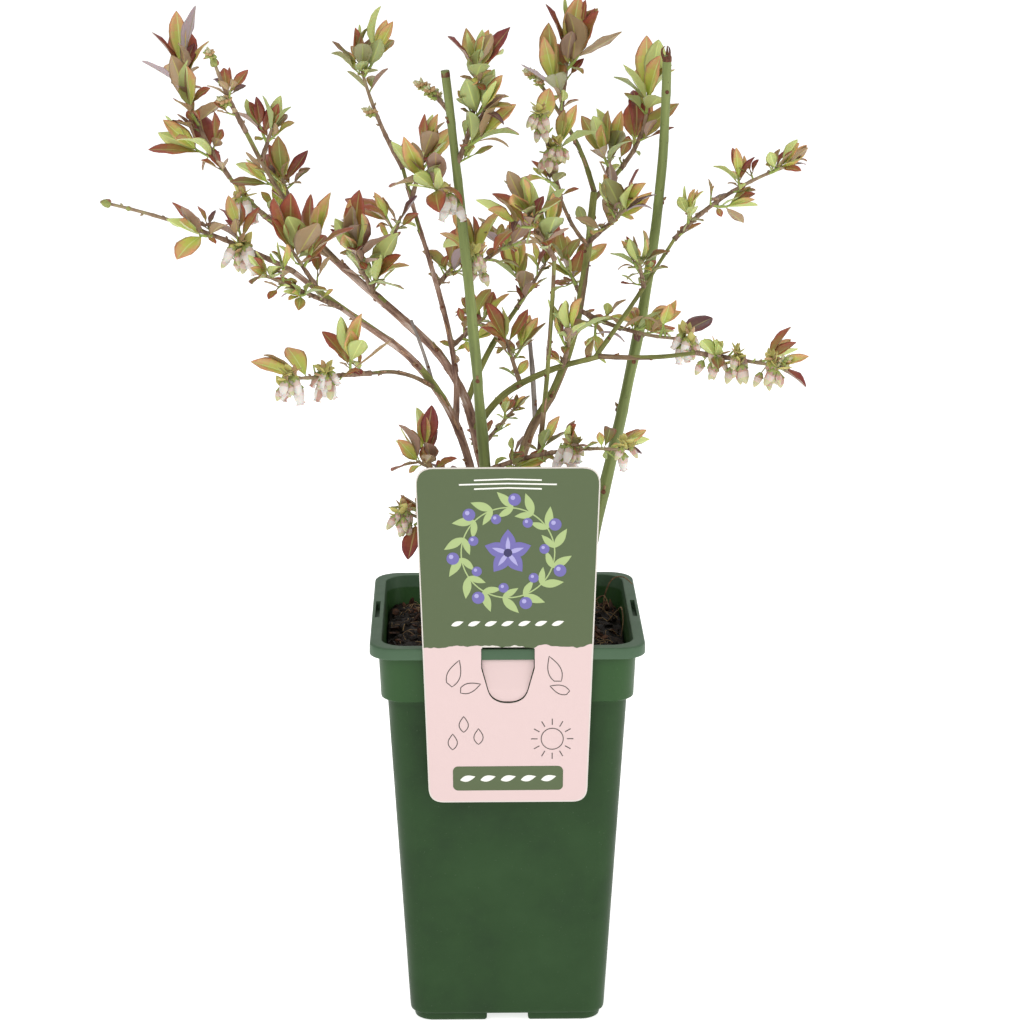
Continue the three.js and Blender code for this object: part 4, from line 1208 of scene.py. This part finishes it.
def slab(pile, outline, near, far, mark=0, sides=(0,)):
    """A flat shape from one y to another, on an outline in x and z that turns to the left."""
    count = len(outline)
    front = np.arange(count)
    edge = np.append(front, 0)
    walls = quads(np.array([edge + count, edge]))
    points = np.array([(x, y, z) for y in (near, far) for x, z in outline], float)
    for k in sides:
        pile.add(points @ quarter(k), (walls, mark), ([front, front[::-1] + count], mark))


def rectangle(x0, x1, z0, z1):
    return [(x0, z0), (x1, z0), (x1, z1), (x0, z1)]


def mirrored(points):
    """The other half of an outline that is symmetrical about x = 0."""
    return [(-x, z) for x, z in reversed(points)]


def square_ring(half, corner, z):
    """Points round a square with rounded corners, counterclockwise."""
    straight = half - corner
    arc = np.arange(CORNER_STEPS + 1) * math.pi / 2 / CORNER_STEPS
    run = straight * (1 - 2 * np.arange(1, SIDE_STEPS) / SIDE_STEPS)
    x = np.append(straight + corner * np.cos(arc), run)
    y = np.append(straight + corner * np.sin(arc), np.full(len(run), half))
    side = np.column_stack([x, y, np.full(len(x), z)])
    return np.concatenate([side @ quarter(k) for k in ALL_SIDES])


def rounded(profile, steps=3):
    """Rounds the corners of a profile of (half width, height, corner radius) points."""
    out = []
    for i, (*here, radius) in enumerate(profile):
        here = np.array(here, float)
        if not radius:
            out.append(here)
            continue
        before, after = [unit(profile[j][:2] - here) * radius for j in (i - 1, i + 1)]
        out += [here + before * (1 - t) ** 2 + after * t**2 for t in np.arange(steps + 1) / steps]
    return out


def body_half(z):
    low, high = POT["floor"]["bottom"], POT["collar"]["bottom"]
    return mixed(POT["body"]["half_bottom"], POT["body"]["half_top"], (z - low) / (high - low))


def pot_wall():
    """The moulded wall: up the outside, over the lip and its hollow, and down the inside."""
    lip, collar, wall = POT["lip"], POT["collar"], POT["wall"]
    low, top, shelf = POT["floor"]["bottom"], POT["height"], collar["bottom"]
    floor_top, under_lip, middle = low + POT["floor"]["thickness"], top - lip["flange"], 20
    stations = [mixed(low + 3, shelf - 3, k / 9) for k in range(10)]
    profile = [
        (middle, low, 0), (body_half(low) - 0.2, low, 1.6),
        *[(body_half(z), z, 0) for z in stations],
        (body_half(shelf), shelf, 0.5), (collar["half_bottom"], shelf, 1.2),
        (collar["half_top"], under_lip, 0.8), (lip["half"] - lip["skirt"], under_lip, 0.8),
        (lip["half"] - lip["skirt"], lip["skirt_bottom"], 0.5), (lip["half"], lip["skirt_bottom"], 0.5),
        (lip["half"] - 0.1, top, 1.7), (collar["half_top"] - wall, top, 0.9),
        (collar["half_bottom"] - wall, shelf + wall, 0.8),
        (body_half(shelf + wall) - wall, shelf + wall, 0.8),
        *[(body_half(z) - wall, z, 0) for z in reversed(stations)],
        (body_half(floor_top) - wall, floor_top, 1.5), (middle, floor_top, 0),
    ]
    rings = []
    for half, z in rounded(profile):
        ring = square_ring(half, POT["corner"] * half / lip["half"], z)
        on_body = low + 3 < z < shelf - 3
        rings.append(bowed(ring, half, (z - low) / (shelf - low)) if on_body else ring)
    pile = Pile()
    loft(pile, rings)
    return pile


def bowed(ring, half, share):
    """The thin walls lean in a little between the corners, most at half height."""
    dent = POT["bow"]["depth"] * math.sin(math.pi * share)
    reach_along = half * POT["bow"]["width"]
    out = ring.copy()
    for axis in (0, 1):
        flat = np.clip(1 - (np.abs(ring[:, 1 - axis]) / reach_along) ** 2, 0, 1)
        on_side = np.abs(ring[:, axis]) > half - 0.01
        out[:, axis] -= np.sign(ring[:, axis]) * dent * flat * on_side
    return out


def make_pot():
    feet, drain, slot, lip = POT["feet"], POT["drain"], POT["slot"], POT["lip"]
    low, height = POT["floor"]["bottom"], POT["height"]
    foot, boss, ribs, pockets, notches, slots, drains = [Pile() for _ in range(7)]
    rings = [square_ring(half, feet["corner"], z) for half, z in rounded([
        (feet["inner"], low + 1, 0), (feet["inner"], 0, 1), (feet["half"], 0, 2.2),
        (feet["half_top"], low + 1, 0),
    ])]
    loft(foot, rings + rings[:1], closed_ends=False)
    tube(boss, [(0, 0, 0), (0, 0, 3), (0, 0, low + 1)], POT["boss"], 32)
    half = slot["length"] / 2
    for end in (-half - slot["beside"] - slot["rib"], half + slot["beside"]):
        rib = rectangle(end, end + slot["rib"], lip["skirt_bottom"] + 0.6, height - 1)
        slab(ribs, rib, slot["near"] - 1.5, lip["half"] - 1, sides=ALL_SIDES)
    # The slots of the left, right and rear sides have floors at the skirt's lower edge.
    floor = rectangle(-half - 1, half + 1, lip["skirt_bottom"] + 0.8, lip["skirt_bottom"] + 1.6)
    slab(pockets, floor, slot["near"] - 2, lip["half"] - 1, sides=NOT_THE_FRONT)
    side = feet["notch"] / 2
    arch = [(side + 3, -0.5), (side + 1.2, 0.4), (side + 0.2, 1.6), (side, 3), (side, low)]
    slab(notches, arch + mirrored(arch), -56, -36, sides=ALL_SIDES)
    hole = rectangle(-half, half, height - slot["depth"], height + 3)
    slab(slots, hole, slot["near"], slot["far"], sides=ALL_SIDES)
    for k in ALL_SIDES:
        heights = (low - 2, low + 1, low + 5)
        line = np.array([(drain["at"], 0, z) for z in heights]) @ quarter(k)
        tube(drains, line, drain["radius"], 24)
    mesh = cut_mesh("pot_shell", pot_wall(), (foot, boss, ribs, pockets), (notches, slots, drains))
    mesh.polygons.foreach_set("use_smooth", np.full(len(mesh.polygons), True))
    mesh.set_sharp_from_angle(angle=math.radians(32))
    piece_of("pot_shell", mesh, [pot_paint()], ["pot"])


# ---- soil ------------------------------------------------------------------------------------
SOIL = {
    "cells": 110, "crumbs": 950, "chips": 0.12, "fibres": 230, "above": 0.4, "flat": 0.82,
    "drop": 4.5,
}
# The lumps of the peat: how wide they are, a seed, and how high they are.
LUMPS = ((17, 3.1, 3.2), (6, 8.7, 1.8), (2.2, 1.9, 0.9))
SOIL_HALF = POT["collar"]["half_bottom"] - POT["wall"] - 0.5
# The points that four pale roots pass through, where they arch up by the right wall.
ROOTS = (
    ((57, 44, 211), (58, 45, 222), (62, 44, 231), (68, 40, 233.5), (73, 34, 231)),
    ((50, 42, 211), (52, 40, 219), (57, 37, 223), (60, 33, 217)),
    ((59, 30, 210), (64, 24, 218), (66, 16, 222), (66.5, 8, 216), (65, 2, 209)),
    ((44, 50, 211), (47, 52, 216), (52, 50, 218), (55, 46, 213)),
)


def ground_height(x, y):
    """The level of the peat, lumpy and lower at the walls."""
    edge = max(abs(x), abs(y)) / (SOIL_HALF + 0.5)
    lumps = sum(noise.noise(Vector((x / w, y / w, seed))) * high for w, seed, high in LUMPS)
    drop = SOIL["drop"] * max(0, edge - SOIL["flat"]) / (1 - SOIL["flat"])
    return SOIL_LEVEL + SOIL["above"] + lumps - drop


def within_corner(x, y, half):
    """A place of the peat, pulled in where the pot's rounded corner cuts the square off."""
    radius = POT["corner"] - POT["wall"]
    over = [max(0, abs(v) - (half - radius)) for v in (x, y)]
    pull = min(1, radius / max(math.hypot(*over), 0.01))
    return [math.copysign(min(abs(v), half - radius) + o * pull, v) for v, o in zip((x, y), over)]


def make_soil():
    half = SOIL_HALF
    spots = np.linspace(-half, half, SOIL["cells"] + 1)
    top = np.array([(*within_corner(x, y, half), ground_height(x, y)) for y in spots for x in spots])
    grid = np.arange(len(top)).reshape(len(spots), -1)
    rim = np.concatenate([grid[0], grid[1:, -1], grid[-1, -2::-1], grid[-2::-1, 0]])
    below = top[rim[:-1]] * (0.965, 0.965, 0) + UP * (POT["collar"]["bottom"] + 4)
    foot = np.arange(len(below)) + len(top)
    bed = Pile()
    walls = quads(np.array([np.append(foot, foot[0]), rim]))
    bed.add(np.vstack([top, below]), (quads(grid), 0), (walls, 0), ([foot[::-1]], 0))
    earth = soil_paint("peat_dark", ("#0e0a08", "#1e1510", "#3a2a1f"))
    bark = soil_paint("bark_chip", ("#2b1a12", "#4d2f20", "#75503a"), 180)
    fibre = soil_paint("root_fibre", ("#54402c", "#7f6649", "#b09a76"), 300)
    piece_of("soil_bed", bed, [earth], ["soil"])
    piece_of("soil_crumbs", crumbs(half), [earth, bark], smooth=False)
    piece_of("soil_fibres", fibres(half), [fibre])


def lump(pile, centre, size, dice, mark):
    """An uneven crumb: a turned shape pushed about by the dice."""
    way = unit(np.array([dice(-1, 1), dice(-1, 1), dice(-1, 1)]) + 1e-3)
    side = unit(np.cross(way, (0.3, 0.2, 0.9)))
    ring = ring_of(side * size[1], np.cross(way, side) * size[2], 7)
    rings = []
    for t in (-0.85, -0.45, 0.05, 0.5, 0.88):
        grow = [[1 + dice(-0.22, 0.22)] for _ in ring]
        rings.append(centre + (way * t * size[0] + ring * math.sqrt(1 - t * t)) * grow)
    loft(pile, rings, mark)


def crumbs(half):
    dice = Dice(77)
    pile = Pile()
    for _ in range(SOIL["crumbs"]):
        x, y = dice(-half + 3, half - 3), dice(-half + 3, half - 3)
        is_chip = dice(0, 1) < SOIL["chips"]
        ranges = ((2.5, 6), (1.2, 2.6), (0.6, 1.4)) if is_chip else ((0.8, 2.6), (0.7, 2.0), (0.6, 1.7))
        size = [dice(*sizes) for sizes in ranges]
        z = ground_height(x, y) + size[2] * dice(-0.1, 0.6)
        lump(pile, np.array([x, y, z]), size, dice, int(is_chip))
    return pile


def fibres(half):
    """Fine roots and straw on the peat, and a few long pale roots."""
    dice = Dice(99)
    pile = Pile()
    for _ in range(SOIL["fibres"]):
        x, y = dice(-half + 6, half - 6), dice(-half + 6, half - 6)
        way = dice(0, 2 * math.pi)
        turn, length = dice(-0.5, 0.5), dice(4, 14)
        line = []
        for k in range(6):
            lift = 0.5 + 1.6 * math.sin(math.pi * k / 5) * dice(0.2, 1)
            line.append((x, y, ground_height(x, y) + lift))
            steps = np.array([x + math.cos(way) * length / 5, y + math.sin(way) * length / 5])
            x, y = np.clip(steps, -half + 2, half - 2).tolist()
            way += turn
        tube(pile, smooth_line(line, 1.5), dice(0.14, 0.34), 5)
    for line in ROOTS:
        tube(pile, smooth_line(line, 1.2), (0.6, 0.3), 7)
    return pile


# ---- label -----------------------------------------------------------------------------------
PRINT_LIFT = 0.06
SHEET_FRONT = -(LABEL["back"] + LABEL["thickness"])
ART_FRONT = SHEET_FRONT - 2 * PRINT_LIFT
SEAT = POT["height"] + GAP
PAPER, INK_OLIVE, INK_PINK, INK_WHITE, INK_VIOLET, INK_PALE, INK_NAVY, INK_DARK, INK_LEAF = range(9)
printed = Pile()


def bezier(a, b, c, steps=8):
    """The points of a curve from a to c after its first, drawn towards b."""
    t = (np.arange(1, steps + 1) / steps)[:, None]
    a, b, c = (np.array(p, float) for p in (a, b, c))
    return [*(a * (1 - t) ** 2 + 2 * b * t * (1 - t) + c * t**2)]


def half_label(z):
    """Half the label's width at a height."""
    share = (z - LABEL["bottom"]) / (LABEL["top"] - LABEL["bottom"])
    return mixed(LABEL["half_bottom"], LABEL["half_top"], share)


def label_corner(end, inset=0.0):
    """The label's rounded corner at the lower or upper right, from below to above."""
    into = 1 if end == "bottom" else -1
    radius = LABEL["corner_" + end] - inset
    edge = LABEL[end] + into * inset
    level = edge + into * radius
    tip, side = half_label(edge) - inset, half_label(level) - inset
    points = [(tip - radius, edge), *bezier((tip - radius, edge), (tip, edge), (side, level))]
    return points[::into]


def shield(half, top, shoulder, point):
    """The right half of the tongue's outline, from its foot to its top."""
    knee = (half * 0.76, point + half / 2)
    return [(0, point), *bezier((0, point), (half * 0.62, point), knee), (half, shoulder), (half, top)]


def bent_tongue():
    """The tongue runs down behind the lip's skirt, and comes forward to the sheet below it."""
    tongue, sheet = LABEL["tongue"], LABEL["thickness"]
    rings = []
    for x, z in shield(tongue["half"], SEAT + 0.4, tongue["shoulder"], tongue["point"])[1:]:
        lean = min(1, max(0, (tongue["shoulder"] + 3 - z) / 6))
        front = -tongue["back"] - sheet - tongue["forward"] * lean**2 * (3 - 2 * lean)
        rings.append([(-x, front, z), (x, front, z), (x, front + sheet, z), (-x, front + sheet, z)])
    return rings


def tear_line(x0, x1, steps):
    """The torn edge of the printed paper, a fixed ragged line across the label."""
    def wave(x, width, y, z):
        return noise.noise(Vector((x / width, y, z)))

    return [
        (x, LABEL["tear"] + wave(x, 9, 0.5, 0.2) * 1.6 + wave(x, 2.5, 4.5, 1.2) * 0.7)
        for x in np.linspace(x0, x1, steps)
    ]


def polar(centre, radius, degrees):
    a = math.radians(degrees)
    return centre[0] + radius * math.cos(a), centre[1] + radius * math.sin(a)


def disc(centre, radius, steps=28):
    return [polar(centre, radius, k * 360 / steps) for k in range(steps)]


def leaf_shape(foot, angle, length, width):
    """A pointed oval for the print, from its foot along an angle."""
    t = np.linspace(0, 1, 13)
    way, side = [np.array(polar((0, 0), 1, turn)) for turn in (angle, angle + 90)]
    middle = foot + np.outer(t * length, way)
    bulge = np.outer(np.sin(math.pi * t**0.85) * width / 2, side)
    return [*(middle - bulge), *(middle + bulge)[-2:0:-1]]


def aside(ways, width):
    """Half a line's width to its right, for the ways that it takes."""
    ways = ways / np.linalg.norm(ways, axis=1)[:, None]
    return np.stack([ways[:, 1], -ways[:, 0]], 1) * width / 2


def stamp(outline, ink, lift=0.0):
    """Prints a flat shape, lifted off the art's usual level."""
    front = ART_FRONT - lift
    slab(printed, outline, front, front + PRINT_LIFT, ink)


def stroke(points, width):
    """The outline of a drawn line of even width."""
    points = np.asarray(points, float)
    off = aside(np.gradient(points, axis=0), width)
    return [*(points + off), *(points - off)[::-1]]


def draw_round(outline, ink, width=0.5, lift=0.0):
    """Prints a closed line of even width."""
    points = np.asarray(outline, float)
    off = aside(np.roll(points, -1, 0) - np.roll(points, 1, 0), width)
    near = ART_FRONT - lift
    far = near + PRINT_LIFT
    section = ((off, near), (-off, near), (-off, far), (off, far), (off, near))
    loft(printed, [np.insert(points + push, 1, y, 1) for push, y in section], ink, False)


def wreath():
    """A ring of leaves and round dots on the olive field, round a plain flower."""
    centre, radius, count = (0, 281), 25, 14
    for k in range(count):
        angle = k * 360 / count + 6
        spot = polar(centre, radius, angle)
        stamp(leaf_shape(spot, angle + 52, 12.5, 4.6), INK_LEAF)
        stamp(leaf_shape(spot, angle + 128, 10, 3.6), INK_LEAF)
        out, size, shine, x, z = (4.6, 3.4, 1.2, -0.9, 1) if k % 2 else (-5.4, 2.7, 0.9, -0.7, 0.8)
        dot = polar(spot, out, angle)
        stamp(disc(dot, size), INK_VIOLET, 0.03)
        stamp(disc((dot[0] + x, dot[1] + z), shine, 16), INK_PALE, 0.06)
    draw_round(disc(centre, radius, 72), INK_LEAF, 0.7, 0.02)
    for k in range(5):
        stamp(leaf_shape(centre, 90 + 72 * k, 13, 8.2), INK_VIOLET, 0.01 * k)
        stamp(leaf_shape(centre, 90 + 72 * k, 9, 2.4), INK_PALE, 0.06 + 0.004 * k)
    stamp(disc(centre, 2.3, 24), INK_NAVY, 0.1)


def make_label():
    tongue, edge = LABEL["tongue"], LABEL["window_edge"]
    window = shield(tongue["half"] + edge, SEAT, tongue["shoulder"], tongue["point"] - 1.5 * edge)
    right = label_corner("bottom") + label_corner("top")
    sheet, opening, back = Pile(), Pile(), Pile()
    slab(sheet, right + mirrored(right), SHEET_FRONT, -LABEL["back"])
    slab(opening, window + mirrored(window)[:-1], SHEET_FRONT - 3, SHEET_FRONT + 5)
    loft(back, bent_tongue(), INK_PINK)
    seat = rectangle(-tongue["half"], tongue["half"], SEAT, SEAT + LABEL["thickness"])
    slab(back, seat, SHEET_FRONT, -tongue["back"], INK_PINK)
    inks = skin_paints(
        "print", label_paper="#d9d2ca", ink_olive="#53613f", ink_pink="#dcc3c1",
        ink_white="#f3f1ea", ink_violet="#6f68a8", ink_pale="#a9a4d4", ink_navy="#34305c",
        ink_dark="#4a423e", ink_leaf="#a8bb7e",
    )
    mesh = cut_mesh("label_sheet", sheet, taken=[opening])
    piece_of("label_sheet", mesh, [inks[PAPER]], ["label"])
    piece_of("label_tongue", back, inks, smooth=False)
    print_fields(window)
    print_motifs()
    piece_of("label_print", printed, inks, smooth=False)


def print_fields(window):
    """The printed faces: an olive field over a torn edge, and a pink one under it."""
    inset = 0.7
    side, half = half_label(LABEL["tear"]) - inset, window[-1][0]
    top, low = label_corner("top", inset), label_corner("bottom", inset)
    stamp(top + mirrored(top) + tear_line(-side, side, 90), INK_OLIVE, -PRINT_LIFT)
    left, right = tear_line(-side, -half, 32), tear_line(half, side, 32)
    gap = [(x, z) for x, z in window if z < LABEL["tear"] - 2]
    gap = gap[::-1] + [(-x, z) for x, z in gap[1:]]
    stamp(low + right[::-1] + gap + left[::-1] + mirrored(low), INK_PINK, -PRINT_LIFT)


def print_motifs():
    """A wreath, lines and leaves where the photo has lettering, and drops, leaves and a sun."""
    wreath()
    for z, out in ((321, 18), (318.6, 26), (316.2, 18)):
        stamp(stroke([(-out, z), (0, z + 0.6), (out, z)], 0.8), INK_WHITE)
    for k in range(-3, 4):
        stamp(leaf_shape((k * 9 - 3.5, 240.5), 18, 7, 2.6), INK_WHITE)
    leaves = ((-32, 205, 70, 17), (-27, 203, 20, 13), (28, 207, 110, 17), (34, 202, 160, 12))
    for x, z, angle, size in leaves:
        draw_round(leaf_shape((x, z), angle, size, size * 0.42)[1:-1], INK_DARK)
    for x, z in ((-24, 180), (-16, 173), (-30, 170)):
        draw_round(leaf_shape((x, z), 90, 9, 5), INK_DARK)
    sun = (24, 176)
    draw_round(disc(sun, 6, 32), INK_DARK)
    for k in range(12):
        stamp(stroke([polar(sun, r, 30 * k) for r in (8, 9.7, 11.5)], 0.55), INK_DARK)
    corners = disc((0, 0), 3, 24)
    band = [(x + math.copysign(27, x), z + math.copysign(4, z) + 153.5) for x, z in corners]
    stamp(band, INK_OLIVE)
    for k in range(-2, 3):
        stamp(leaf_shape((k * 11 - 4, 152.5), 14, 8.5, 3.4), INK_WHITE, PRINT_LIFT)


# ---- studio ----------------------------------------------------------------------------------
CAMERA = {"focal_px": 3140, "image_px": 1024, "place": (-26, -1690, 736), "down": 15, "aside": 1}
FLOOR_FAR = 200000
# Lamps: place and size in metres, and power in watts.
LAMPS = {
    "key": ((-0.8, -1.9, 1.8), 1.2, 18), "fill": ((1.7, -1.0, 0.9), 1.0, 8),
    "back": ((0.2, 1.4, 1.9), 1.4, 9),
}


def make_studio():
    scene = bpy.context.scene
    data = bpy.data.cameras.new("camera")
    data.sensor_width = 36
    data.lens = CAMERA["focal_px"] / CAMERA["image_px"] * data.sensor_width
    data.clip_end = 500
    scene.camera = in_scene("camera", data)
    scene.camera.location = [v * MM for v in CAMERA["place"]]
    tilt, aside_by = math.radians(90 - CAMERA["down"]), -math.radians(CAMERA["aside"])
    scene.camera.rotation_euler = (tilt, 0, aside_by)
    floor = Pile()
    corners = rectangle(-FLOOR_FAR, FLOOR_FAR, -FLOOR_FAR, FLOOR_FAR)
    floor.add([(x, y, -0.1) for x, y in corners], ([[0, 1, 2, 3]], 0))
    ground = in_scene("floor", mesh_of("floor", floor))
    white = Paint("floor_white", "#f4f4f2", 0.9, Emission_Strength=0.75)
    white.set(Emission_Color=colour("#ffffff"))
    ground.data.materials.append(white.material)
    scene.world = bpy.data.worlds.new("studio")
    scene.world.use_nodes = True
    background = scene.world.node_tree.nodes["Background"]
    background.inputs["Color"].default_value = (1, 1, 1, 1)
    background.inputs["Strength"].default_value = 0.5
    for name, (place, size, power) in LAMPS.items():
        data = bpy.data.lights.new(name, "AREA")
        data.shape = "SQUARE"
        data.size = size
        data.energy = power
        light = in_scene(name, data)
        light.location = place
        aim = Vector((0, 0, 0.3)) - Vector(place)
        light.rotation_euler = aim.to_track_quat("-Z", "Y").to_euler()
    scene.view_settings.view_transform = "Standard"
    scene.view_settings.exposure = 0


make_studio()
make_pot()
make_soil()
make_label()
make_limbs()
make_foliage()
